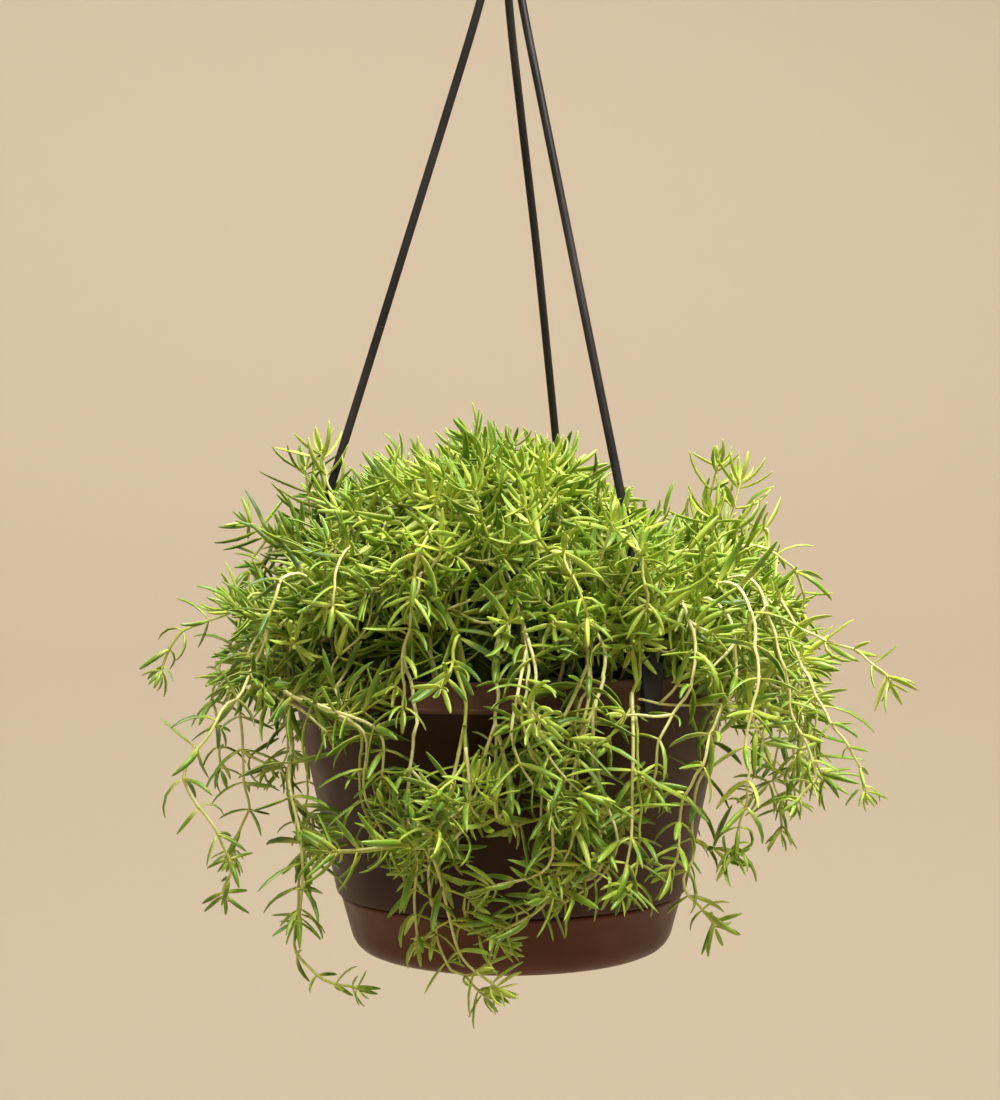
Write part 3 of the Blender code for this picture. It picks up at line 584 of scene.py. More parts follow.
@dataclass(frozen=True)
class LeafFlesh:
    """Fleshy leaf: its green runs from bluish to lime by the leaf's tone, paler at its root and margins."""

    name: str
    old: Colour
    grown: Colour
    young: Colour
    pale: Colour

    def make(self) -> bpy.types.Material:
        """The leaf as a material that reads the growth attribute: tone, share along and share across.

        Returns:
            The material.
        """
        board = Board(self.name)
        tone, along, across = board.growth()
        blotch = board.reach(board.grain(45.0, 2.0), 0.3, 0.7, -0.12, 0.12)
        tone = board.maths("ADD", tone, blotch)
        colour = board.ramp(tone, [(0.0, self.old), (0.5, self.grown), (1.0, self.young)])
        root = board.reach(along, 0.0, 0.42, 0.75, 0.0)
        colour = board.mix(root, colour, self.pale)
        margin = board.reach(across, 0.55, 1.0, 0.0, 0.36)
        colour = board.mix(margin, colour, self.pale)
        grain = board.grain(520.0, 1.0)
        mottle = board.reach(grain, 0.35, 0.7, 0.0, 0.22)
        colour = board.mix(mottle, colour, self.grown)
        point = board.reach(along, 0.94, 1.0, 0.0, 0.5)
        colour = board.mix(point, colour, linear(170, 160, 80))
        rough = board.reach(grain, 0.3, 0.7, 0.36, 0.52)
        relief = board.bump(board.grain(900.0, 1.0), 0.22, 0.16)
        board.wear(Base_Color=colour, Roughness=rough, Normal=relief)
        board.shader.inputs["Specular IOR Level"].default_value = 0.45
        board.shader.inputs["Subsurface Weight"].default_value = 0.22
        board.shader.inputs["Subsurface Radius"].default_value = (0.9, 1.0, 0.25)
        board.shader.inputs["Subsurface Scale"].default_value = 0.0016
        return board.material


@dataclass(frozen=True)
class StemSkin:
    """Stem skin: cream green, browner where it is old, with rings at the joints."""

    name: str
    cream: Colour
    green: Colour
    brown: Colour

    def make(self) -> bpy.types.Material:
        """The skin as a material that reads the growth attribute: tone, share along and nearness to a joint.

        Returns:
            The material.
        """
        board = Board(self.name)
        tone, along, joint = board.growth()
        tone = board.maths("ADD", tone, board.reach(board.grain(70.0, 2.0), 0.3, 0.7, -0.15, 0.15))
        colour = board.ramp(tone, [(0.0, self.brown), (0.38, self.cream), (0.75, self.cream), (1.0, self.green)])
        colour = board.mix(board.reach(along, 0.6, 1.0, 0.0, 0.6), colour, self.green)
        colour = board.mix(board.reach(joint, 0.3, 1.0, 0.0, 0.4), colour, self.green)
        scars = board.reach(board.grain(420.0, 1.0), 0.62, 0.72, 0.0, 0.35)
        colour = board.mix(scars, colour, self.brown)
        relief = board.bump(board.grain(500.0, 1.0), 0.35, 0.2)
        rough = board.reach(board.grain(200.0, 1.0), 0.3, 0.7, 0.42, 0.6)
        board.wear(Base_Color=colour, Normal=relief, Roughness=rough)
        return board.material


@dataclass(frozen=True)
class PaintedShadeGrowth:
    """A dark stand-in for the tangle of old stems and leaves inside the plant: its dark greens are painted shade.
    """

    name: str = "painted_shade_growth"

    def make(self) -> bpy.types.Material:
        """The tangle as a material.

        Returns:
            The material.
        """
        board = Board(self.name)
        # Painted shade: dark greens for the shaded inside of the plant; the brownish strands are the stems' own
        # colour.
        colour = board.ramp(
            board.grain(120.0, 6.0, (1, 1, 0.5)),
            [(0.35, linear(28, 38, 14)), (0.5, linear(58, 78, 26)), (0.68, linear(98, 120, 46))],
        )
        strands = board.reach(board.grain(260.0, 2.0, (1, 1, 0.15)), 0.6, 0.7, 0.0, 0.5)
        colour = board.mix(strands, colour, linear(72, 62, 34))
        relief = board.bump(board.grain(200.0, 5.0), 1.0, 3.0)
        board.wear(Base_Color=colour, Normal=relief, Roughness=0.9)
        return board.material


@dataclass(frozen=True)
class StagePaint:
    """Matt paint for the floor and the backdrop."""

    name: str
    colour: Colour

    def make(self) -> bpy.types.Material:
        """The paint as a material.

        Returns:
            The material.
        """
        board = Board(self.name)
        board.wear(Base_Color=self.colour, Roughness=0.95)
        return board.material


class Finishes:
    """Every finish of the object, made once."""

    def __init__(self) -> None:
        """Make the finishes."""
        pale = linear(212, 215, 98)
        # The pot's rim band above 140.8 mm is painted paler: painted light.
        self.pot = MouldedPlastic(
            "pot_plastic", linear(44, 26, 17), linear(66, 42, 30), dull=0.42, dust=0.5, painted_light_height=140.8
        ).make()
        self.saucer = MouldedPlastic(
            "saucer_plastic", linear(64, 33, 18), linear(90, 50, 30), dull=0.40, dust=0.3
        ).make()
        self.hanger = MouldedPlastic(
            "hanger_plastic", linear(30, 29, 29), linear(52, 50, 50), dull=0.36, dust=0.6
        ).make()
        self.soil = PottingMix().make()
        self.leaf = LeafFlesh(
            "leaf_flesh", old=linear(46, 84, 28), grown=linear(106, 146, 30), young=linear(188, 205, 86), pale=pale
        ).make()
        self.stem = StemSkin(
            "stem_skin", cream=linear(226, 223, 158), green=linear(176, 191, 80), brown=linear(132, 106, 60)
        ).make()
        self.heart = PaintedShadeGrowth().make()


# ---------------------------------------------------------------- pot, saucer and soil


@dataclass
class Basket:
    """The pot, the saucer that snaps under it, and the soil in it."""

    finishes: Finishes
    steps: int = 168
    rim_radius: float = 125.4
    rim_top: float = 157.0
    band_bottom: float = 141.0
    wall_top_radius: float = 121.2
    skirt_radius: float = 98.4
    skirt_height: float = 33.2
    wall: float = 2.2
    neck_radius: float = 90.8
    snap_radius: float = 91.8
    snap_height: float = 24.8
    foot_radius: float = 83.0
    foot_height: float = 2.3
    floor_height: float = 10.0
    drain_holes: int = 4
    drain_radius: float = 5.0
    drain_circle: float = 58.0
    seam_turns: tuple[float, ...] = (-9, 22, 51, 81, 111, 141, 171, 201, 231, 261, 291, 321)
    seam_width: float = 0.5
    seam_depth: float = 0.35
    soil_top: float = 140.0

    def build(self) -> None:
        """Model and dress the three pieces."""
        for piece, node, finish in (
            (self.pot(), "pot", self.finishes.pot),
            (self.saucer(), "saucer", self.finishes.saucer),
            (self.soil(), "soil", self.finishes.soil),
        ):
            dress(piece, node, {"soil": "potting_mix"}.get(node, node + "_plastic"), finish)

    def pot(self) -> bpy.types.Object:
        """The turned pot: rim band with beads, tapered wall, neck with its snap bead, foot and drained floor.

        Returns:
            The pot.
        """
        rim, top, band, wall = self.rim_radius, self.rim_top, self.band_bottom, self.wall
        inside, floor, skirt = rim - wall, self.floor_height, self.skirt_height
        neck, snap, foot = self.neck_radius, self.snap_radius, self.foot_radius
        profile = [
            (0.0, floor + wall), (83.2, floor + wall), (neck - wall, skirt + wall),
            (self.skirt_radius - wall, skirt + wall), (self.wall_top_radius - wall, band), (inside, band + wall),
            (inside, top - 0.6), (inside + 0.6, top), (rim - 0.2, top), (rim + 0.4, top - 0.7),
            (rim + 0.4, top - 2.2), (rim - 0.1, top - 2.9), (rim + 0.1, band + 2.6), (rim + 0.9, band + 1.8),
            (rim + 0.9, band), (self.wall_top_radius, band), (self.skirt_radius + 0.4, skirt + 1.6),
            (self.skirt_radius - 0.2, skirt), (neck, skirt), (neck, self.snap_height + 0.2),
            (snap, self.snap_height), (snap - 2.0, self.snap_height - 1.8), (foot, self.foot_height),
            (foot - 3.0, self.foot_height), (foot - 3.0, floor), (0.0, floor),
        ]
        pot = Bench.turn("basket_pot", profile, self.steps)
        self.score_seams(pot)
        for i in range(self.drain_holes):
            Bench.clear()
            place = spot(45 + i * 360 / self.drain_holes, self.drain_circle, self.floor_height)
            bpy.ops.mesh.primitive_cylinder_add(
                vertices=28, radius=self.drain_radius * MM, depth=5 * self.wall * MM, location=place
            )
            Bench.cut(pot, bpy.context.object)
        Bench.round_edges(pot, 0.35)
        Bench.shade(pot)
        return pot

    def score_seams(self, pot: bpy.types.Object) -> None:
        """Sink narrow upright seams into the rim band.

        Args:
            pot: the turned pot.
        """
        Bench.pick(pot)
        bpy.ops.object.mode_set(mode="EDIT")
        bpy.ops.mesh.select_mode(type="EDGE")
        bpy.ops.mesh.select_all(action="DESELECT")
        bpy.ops.object.mode_set(mode="OBJECT")
        low, high = level(self.band_bottom + 2.0), level(self.rim_top - 2.0)
        points = np.empty(len(pot.data.vertices) * 3)
        pot.data.vertices.foreach_get("co", points)
        points = points.reshape(-1, 3)
        turns = np.degrees(np.arctan2(points[:, 0], -points[:, 1])) % 360
        reach = np.hypot(points[:, 0], points[:, 1]) / MM
        step = 360 / self.steps
        wanted = {round((turn % 360) / step) % self.steps for turn in self.seam_turns}
        for edge in pot.data.edges:
            a, b = edge.vertices
            upright = round(turns[a] / step) % self.steps == round(turns[b] / step) % self.steps
            outer = min(reach[a], reach[b]) > self.rim_radius - 0.3
            tall = abs(points[a, 2] - points[b, 2]) > 5 * MM
            inside = low < (points[a, 2] + points[b, 2]) / 2 < high
            if upright and outer and tall and inside:
                edge.select = round(turns[a] / step) % self.steps in wanted
        bpy.ops.object.mode_set(mode="EDIT")
        bpy.ops.mesh.bevel(offset=self.seam_width / 2 * MM, segments=1, affect="EDGES")
        bpy.ops.mesh.select_mode(type="FACE")
        bpy.ops.mesh.inset(thickness=self.seam_width * 0.2 * MM)
        shrink = 1 - self.seam_depth / self.rim_radius
        bpy.ops.transform.resize(value=(shrink, shrink, 1), center_override=(0, 0, 0))
        bpy.ops.object.mode_set(mode="OBJECT")

    def saucer(self) -> bpy.types.Object:
        """The turned drip saucer with its rolled lip, snap bead and rounded foot.

        Returns:
            The saucer.
        """
        snap, bead = self.snap_radius, self.snap_height
        profile = [
            (0.0, 2.0), (self.foot_radius + 0.6, 2.0), (88.0, 12.0), (snap + 0.5, bead + 0.5),
            (snap - 0.55, bead + 0.6), (snap - 0.55, bead + 2.2), (93.8, bead + 4.0), (93.8, 32.1),
            (95.6, 32.4), (96.2, 31.8), (96.2, 30.4), (95.7, 29.8), (91.0, 12.6), (89.7, 8.2), (87.6, 4.6),
            (84.8, 2.0), (81.4, 0.5), (76.8, 0.0), (70.6, 0.0), (69.6, 0.8), (30.0, 0.8), (29.2, 0.2),
            (27.8, 0.2), (27.0, 0.8), (0.0, 0.8),
        ]
        saucer = Bench.turn("drip_saucer", profile, self.steps)
        Bench.round_edges(saucer, 0.3)
        Bench.shade(saucer)
        return saucer

    def soil(self) -> bpy.types.Object:
        """The potting mix: a turned body with a crumbly top.

        Returns:
            The soil.
        """
        room = 0.4
        edge = self.wall_top_radius - self.wall - 0.7
        rings = [(edge * share, self.soil_top) for share in np.linspace(1, 0.03, 30)]
        profile = [
            (0.0, self.floor_height + self.wall + room),
            (82.8, self.floor_height + self.wall + room),
            (self.neck_radius - self.wall - room, self.skirt_height + self.wall + room),
            (self.skirt_radius - self.wall - room, self.skirt_height + self.wall + room),
            *rings,
            (0.0, self.soil_top),
        ]
        soil = Bench.turn("potting_soil", profile, 112)
        for vert in soil.data.vertices:
            if vert.co.z > level(self.soil_top - 0.5) and vert.co.xy.length < (edge - 1) * MM:
                slow = noise.noise(vert.co * 28.0) * 2.6
                crumb = noise.noise(vert.co * 190.0) * 2.0
                vert.co.z += (slow + crumb - 0.6) * MM
        Bench.shade(soil, 60)
        return soil


def dress(piece: bpy.types.Object, node: str | None, slot: str, *finishes: bpy.types.Material) -> None:
    """Give a piece its finishes, let it ride on the body and stand for its CAD node.

    Args:
        piece: the finished piece.
        node: the CAD node that it replaces, or None.
        slot: the record's material slot; not used.
        finishes: the materials, in the order of the piece's slots.
    """
    if finishes:
        piece.data.materials.clear()
        for finish in finishes:
            piece.data.materials.append(finish)
    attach(piece, "root")
    if node:
        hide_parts(node)
    log.info("%s: %d faces, replaces %s", piece.name, len(piece.data.polygons), node)


# ---------------------------------------------------------------- smooth lines


def smooth_path(points: list[Vector], spacing: float, fineness: int = 12) -> list[Vector]:
    """Evenly spaced points on a smooth curve through the given ones.

    Args:
        points: the places to pass through, in metres.
        spacing: the wanted spacing, in millimetres.
        fineness: parts that each stretch is drawn in before it is divided evenly.

    Returns:
        The points, the first and the last as given.
    """
    stops = [0.0]
    for a, b in zip(points, points[1:]):
        stops.append(stops[-1] + (b - a).length)
    slopes = []
    for i in range(len(points)):
        low, high = max(i - 1, 0), min(i + 1, len(points) - 1)
        slopes.append((points[high] - points[low]) / (stops[high] - stops[low]))
    fine = []
    for i in range(len(points) - 1):
        span = stops[i + 1] - stops[i]
        for k in range(fineness):
            t = k / fineness
            fine.append(
                points[i] * (2 * t**3 - 3 * t**2 + 1)
                + slopes[i] * span * (t**3 - 2 * t**2 + t)
                + points[i + 1] * (3 * t**2 - 2 * t**3)
                + slopes[i + 1] * span * (t**3 - t**2)
            )
    fine.append(points[-1])
    lengths = [0.0]
    for a, b in zip(fine, fine[1:]):
        lengths.append(lengths[-1] + (b - a).length)
    count = max(3, round(lengths[-1] / (spacing * MM)))
    path, at = [], 0
    for k in range(count + 1):
        goal = lengths[-1] * k / count
        while at < len(fine) - 2 and lengths[at + 1] < goal:
            at += 1
        share = (goal - lengths[at]) / (lengths[at + 1] - lengths[at])
        path.append(fine[at].lerp(fine[at + 1], min(share, 1.0)))
    return path


class Route:
    """A smooth line that can be asked for the place at any length along it."""

    def __init__(self, points: list[Vector]) -> None:
        """Draw the line through its points, in metres."""
        self.points = smooth_path(points, 1.5)
        self.measure()

    def measure(self) -> None:
        """Find the length along the line at each of its points, in millimetres."""
        self.lengths = [0.0]
        for a, b in zip(self.points, self.points[1:]):
            self.lengths.append(self.lengths[-1] + (b - a).length / MM)
        self.total = self.lengths[-1]

    def shorten(self, share: float) -> None:
        """Keep this share of the line, from its root.

        Args:
            share: the share.
        """
        last = bisect.bisect_left(self.lengths, self.total * share)
        self.points = self.points[:last + 1]
        self.measure()

    def at(self, length: float) -> Vector:
        """The place this many millimetres along.

        Args:
            length: millimetres along.

        Returns:
            The place, in metres.
        """
        k = min(max(bisect.bisect_right(self.lengths, length), 1), len(self.points) - 1)
        share = (length - self.lengths[k - 1]) / (self.lengths[k] - self.lengths[k - 1])
        return self.points[k - 1].lerp(self.points[k], share)

    def direction(self, length: float) -> Vector:
        """The way the line runs there."""
        return (self.at(min(length + 1.5, self.total)) - self.at(max(length - 1.5, 0.0))).normalized()


# ---------------------------------------------------------------- hanger


@dataclass
class Hanger:
    """Three strands that clip over the rim, and the hub and hook that they run up to."""

    finishes: Finishes
    turns: dict[str, float] = field(
        default_factory=lambda: {"strand_left": -86.0, "strand_right": 34.5, "strand_back": 161.5}
    )
    path: tuple[tuple[float, float], ...] = (
        (127.0, 162.0), (126.4, 168.0), (114.0, 215.0), (97.2, 270.0), (79.5, 326.0),
        (54.6, 405.0), (34.1, 470.0), (14.8, 533.0), (5.6, 572.0),
    )
    back_twist: float = 18.0
    twist_start: float = 300.0
    strand_radius: float = 2.4
    hub_radius: float = 9.0
    hub_bottom: float = 564.0
    hub_top: float = 588.0
    hook_bore: float = 16.0
    hook_wire: float = 3.2
    hook_start: float = -52.0
    hook_sweep: float = 258.0
    clip_width: float = 13.0
    clip_wall: float = 2.3
    clip_top: float = 165.0
    clip_bottom: float = 138.5
    clip_inner_leg: float = 147.0
    clip_taper: float = 0.86
    clip_room: float = 0.4
    clip_overhang: float = 0.6
    rim_inside: float = 121.8
    rim_outside: float = 126.3
    rim_top: float = 157.4

    def build(self) -> None:
        """Model and dress the hook and the strands."""
        dress(self.hook(), "hanger_hook", "hanger_plastic", self.finishes.hanger)
        for name, turn in self.turns.items():
            dress(self.strand(name, turn), name, "hanger_plastic", self.finishes.hanger)

    def route(self, name: str) -> list[Vector]:
        """A strand's points, from its clip up into the hub.

        Args:
            name: the strand's name.

        Returns:
            The points, in metres.
        """
        points = []
        for radius, height in self.path:
            climbed = max(0.0, (height - self.twist_start) / (self.hub_bottom - self.twist_start))
            twist = self.back_twist * climbed**4 if name == "strand_back" else 0.0
            points.append(spot(self.turns[name] + twist, radius, height))
        return points

    def strand(self, name: str, turn: float) -> bpy.types.Object:
        """One strand with a swollen foot, and its clip.

        Args:
            name: the strand's name.
            turn: its clip's turn.

        Returns:
            The strand.
        """
        line = smooth_path(self.route(name), 7.0)
        radii = [self.strand_radius + 1.5 * max(0.0, 1 - i / 3) ** 1.5 for i in range(len(line))]
        rope = Bench.tubes(name + "_cord", [line], [radii], 5)
        Bench.shade(rope, 60)
        piece = Bench.join([self.clip(turn), rope])
        piece.name = piece.data.name = name.replace("strand", "hanger_strand")
        return piece

    def clip(self, turn: float) -> bpy.types.Object:
        """The clip: a plate outside the rim, drawn in over it and down the inside.

        Args:
            turn: its turn.

        Returns:
            The clip.
        """
        Bench.clear()
        tall = self.clip_top - self.clip_bottom
        halfway = level((self.clip_top + self.clip_bottom) / 2)
        top = level(self.rim_top)
        middle = self.rim_outside + self.clip_room + self.clip_wall / 2
        bpy.ops.mesh.primitive_cube_add(size=1, location=(0, 0, 0))
        clip = bpy.context.object
        bpy.ops.object.mode_set(mode="EDIT")
        bpy.ops.transform.resize(value=(self.clip_width * MM, self.clip_wall * MM, tall * MM))
        bpy.ops.transform.translate(value=(0, -middle * MM, halfway))
        bpy.ops.mesh.subdivide(number_cuts=1)
        Bench.pick_verts(clip, lambda p: abs(p.z - halfway) < 0.1 * MM)
        bpy.ops.transform.translate(value=(0, 0, top - halfway))
        inward = middle - self.clip_wall / 2 - self.rim_inside + self.clip_overhang
        Bench.pick_faces(clip, (0, 1, 0), lambda p: p.z > top and p.y > -(self.rim_outside + 0.5) * MM)
        Bench.draw_out(0, inward * MM, 0)
        Bench.draw_out(0, self.clip_wall * MM, -2.0 * MM)
        Bench.pick_faces(
            clip, (0, 0, -1),
            lambda p: p.y > -(self.rim_inside - 0.7) * MM and abs(p.z - level(self.rim_top - 1.5)) < 4 * MM,
        )
        drop = self.rim_top - self.clip_inner_leg
        Bench.draw_out(0, 0, -drop * MM)
        Bench.pick_verts(clip, lambda p: p.z < level(self.rim_top - 2))
        bpy.ops.transform.resize(value=(self.clip_taper, 1, 1), center_override=(0, 0, 0))
        Bench.close()
        clip.rotation_euler.z = math.radians(turn)
        Bench.settle(clip)
        Bench.round_edges(clip, 0.55, 3)
        Bench.shade(clip, 50)
        return clip

    def hook(self) -> bpy.types.Object:
        """The hub, turned with a groove, and the hook drawn out of it.

        Returns:
            The hook.
        """
        wide, top, bottom = self.hub_radius, self.hub_top, self.hub_bottom
        profile = [
            (0.0, top), (5.0, top), (8.0, top - 3.0), (wide, top - 6.0), (wide, top - 9.0),
            (wide - 0.8, top - 9.6), (wide - 0.8, top - 11.0), (wide, top - 11.6), (wide, bottom + 0.8),
            (wide - 0.8, bottom), (0.0, bottom),
        ]
        hub = Bench.turn("hub", profile, 48)
        Bench.round_edges(hub, 0.3)
        Bench.shade(hub)
        bend = self.hook_bore + self.hook_wire
        centre = HANG_HEIGHT - self.hook_bore
        points = [seen_place(0, 0, self.hub_top - 4), seen_place(0.5, 0, self.hub_top + 1)]
        steps = 24
        for step in range(steps + 1):
            angle = math.radians(self.hook_start + step * self.hook_sweep / steps)
            points.append(seen_place(bend * math.cos(angle), 0, centre + bend * math.sin(angle)))
        radii = [self.hook_wire] * (len(points) - 2) + [self.hook_wire * 0.96, self.hook_wire * 0.7]
        wire = Bench.tubes("wire", [points], [radii], 6)
        Bench.shade(wire, 60)
        piece = Bench.join([hub, wire])
        piece.name = piece.data.name = "hanger_hook_moulded"
        return piece


# ---------------------------------------------------------------- stems and leaves


class Kind(Enum):
    """How a named stem grows."""

    ARCHING = "arching"
    HANGING = "hanging"


@dataclass(frozen=True)
class Habit:
    """How this sedum's joints and leaves grow, in millimetres, degrees and shares."""

    threes: float = 0.6  # joints with three leaves; the others have two
    sizes: tuple[float, float] = (0.80, 1.12)
    tip_shrink: float = 0.34
    open_lean: float = 12.0
    tip_fold: float = 14.0
    root_tone: float = 0.20
    tip_tone: float = 0.36
    joint_tones: float = 0.06
    leaf_tones: float = 0.12
    bare_skip: float = 0.85  # joints without leaves in a bare place
    bare_size: float = 0.58
    turns: float = 16.0
    leans: float = 13.0
    lifts: tuple[float, float] = (-0.4, 1.3)
    rolls: float = 12.0
    lengths: tuple[float, float] = (0.85, 1.14)
    width: float = 3.9  # of a leaf as long as the next value
    full_length: float = 27.0
    widths: tuple[float, float] = (0.88, 1.12)
    thicknesses: tuple[float, float] = (0.60, 0.76)
    bends: tuple[float, float] = (0.62, 0.48)
    joint_height: float = 1.6
    joint_swell: float = 1.22
    stem_taper: float = 0.38
    ring_spacing: float = 6.0


@dataclass
class LeafPattern:
    """One leaf, modelled once: a six-sided spindle with a flat, slightly hollow upper face, one unit long."""

    rings: tuple[tuple[float, float, float], ...] = (
        (0.04, 0.50, 0.66), (0.24, 0.90, 0.95), (0.50, 1.0, 1.0), (0.76, 0.78, 0.84), (0.93, 0.40, 0.50),
    )
    flat: float = 0.16
    hollow: float = 0.14

    def build(self) -> Pattern:
        """Model the leaf.

        Returns:
            Its points, x across, y along and z up, and its faces.
        """
        Bench.clear()
        bpy.ops.mesh.primitive_circle_add(
            vertices=6, radius=0.5, fill_type="NOTHING", rotation=(math.radians(90), 0, 0)
        )
        leaf = bpy.context.object
        bpy.ops.object.transform_apply(location=True, rotation=True, scale=True)
        bpy.ops.object.mode_set(mode="EDIT")
        self.shape_section(leaf)
        along, width, thick = self.rings[0]
        bpy.ops.mesh.select_all(action="SELECT")
        bpy.ops.transform.resize(value=(width, 1, thick), center_override=(0, 0, 0))
        bpy.ops.transform.translate(value=(0, along, 0))
        for far, wide, deep in self.rings[1:]:
            Bench.draw_out(0, far - along, 0)
            bpy.ops.transform.resize(value=(wide / width, 1, deep / thick), center_override=(0, 0, 0))
            along, width, thick = far, wide, deep
        Bench.draw_out(0, 1 - along, 0)
        bpy.ops.mesh.merge(type="CENTER")
        bpy.ops.mesh.select_all(action="DESELECT")
        bpy.ops.mesh.select_non_manifold()
        Bench.draw_out(0, -self.rings[0][0], 0)
        bpy.ops.mesh.merge(type="CENTER")
        Bench.close()
        points = np.array([tuple(vert.co) for vert in leaf.data.vertices])
        faces = [tuple(face.vertices) for face in leaf.data.polygons]
        bpy.data.objects.remove(leaf, do_unlink=True)
        return points, faces

    def shape_section(self, leaf: bpy.types.Object) -> None:
        """Flatten the upper side of the first ring and lift its two margins.

        Args:
            leaf: the ring, in edit mode.
        """
        Bench.pick_verts(leaf, lambda p: p.z > 0.2)
        bpy.ops.transform.resize(value=(0.9, 1, self.flat), center_override=(0, 0, 0))
        Bench.pick_verts(leaf, lambda p: abs(p.x) > 0.4)
        bpy.ops.transform.translate(value=(0, 0, self.hollow))


@dataclass
class PotShape:
    """What leaves and stems stay clear of: the pot, the soil, the strands and the bare places in front."""

    strands: list[np.ndarray]
    bare_places: tuple[tuple[float, float, float, float], ...] = (
        (-60, 3, 118, 160), (44, 68, 124, 160), (64, 82, 133, 172),
    )
    heights: tuple[float, ...] = (-40, -1, 0, 5, 12, 27, 32.6, 34, 140.6, 140.9, 157.6)
    radii: tuple[float, ...] = (0, 60, 83, 89.3, 91.5, 96.2, 96.6, 99.2, 121.8, 126.9, 126.9)
    inside: float = 119.4
    soil: float = 141.0
    core: tuple[tuple[float, float], ...] = (
        (100, 139), (106, 150), (110, 168), (108, 188), (99, 206), (82, 219), (58, 227), (30, 230),
    )

    def is_buried(self, leaf: tuple[float, ...]) -> bool:
        """Whether a leaf lies wholly inside the dark dome of painted shade, where nothing shows it.

        Args:
            leaf: its row: root, direction, up, length, width, thickness, bend and tone.

        Returns:
            True if nothing shows it.
        """
        root = Vector(leaf[:3])
        radii, heights = zip(*self.core)
        for place in (root, root + Vector(leaf[3:6]) * (leaf[9] * MM)):
            depth = np.interp(place.z / MM + HANG_HEIGHT, heights, radii, right=0.0) * 0.85 - 10.0
            if math.hypot(place.x, place.y) / MM > depth:
                return False
        return True

    def is_bare(self, place: Vector) -> bool:
        """Whether no leaf grows here: one of the places in front where the rim, the wall or a clip shows."""
        x, height = place.x / MM, place.z / MM + HANG_HEIGHT
        return place.y < -85 * MM and any(a < x < b and c < height < d for a, b, c, d in self.bare_places)

    def push(self, points: np.ndarray, clearance: np.ndarray | float) -> np.ndarray:
        """How far each point has to move to be clear.

        Args:
            points: places in metres, in the last axis.
            clearance: room that each point needs, in millimetres.

        Returns:
            The moves, in metres.
        """
        x, y = points[..., 0] / MM, points[..., 1] / MM
        height = points[..., 2] / MM + HANG_HEIGHT
        reach = np.hypot(x, y) + 1e-6
        wall = np.interp(height, self.heights, self.radii) + clearance
        low = height < self.heights[-1] + clearance
        outside = reach > self.inside - np.clip((140 - height) * 0.22, 0, 24)
        need = np.where(low & outside, np.maximum(wall - reach, 0.0), 0.0)
        move = np.zeros_like(points)
        move[..., 0] = x / reach * need * MM
        move[..., 1] = y / reach * need * MM
        lift = np.where(low & ~outside & (height > 90), np.maximum(self.soil + clearance - height, 0.0), 0.0)
        move[..., 2] = lift * MM
        return move + self.off_strands(points + move, clearance)

    def off_strands(self, points: np.ndarray, clearance: np.ndarray | float) -> np.ndarray:
        """The moves that keep points off the strands.

        Args:
            points: places in metres, in the last axis.
            clearance: room that each needs, in millimetres.

        Returns:
            The moves, in metres.
        """
        move = np.zeros_like(points)
        for line in self.strands:
            for a, b in zip(line, line[1:]):
                span = b - a
                share = np.clip(((points - a) @ span) / (span @ span), 0, 1)
                away = points - (a + share[..., None] * span)
                distance = np.linalg.norm(away, axis=-1) + 1e-9
                need = np.maximum((2.6 + clearance) * MM - distance, 0.0)
                move += away / distance[..., None] * need[..., None]
        return move


@dataclass
class Shoot:
    """A leafy shoot: the line that it follows and how its leaves stand on it."""

    route: Route
    radius: float
    bare: float
    spacing: float
    leaf: float
    tone: float
    lean: float = 66.0
    lift: float = 0.16
    branches: int = 0
    rosette: int = 2
    branch_length: tuple[float, float] = (16.0, 32.0)
    woody: float = 0.5

    def whorls(self) -> list[float]:
        """Lengths along the shoot at which leaves grow, closer together towards its tip.

        Returns:
            The lengths, from the root up.
        """
        places, place = [], self.route.total - 5.0
        gap = self.spacing * 0.72
        while place > self.bare:
            places.append(place)
            place -= gap
            gap = min(gap * 1.22, self.spacing * 1.25)
        return places[::-1]


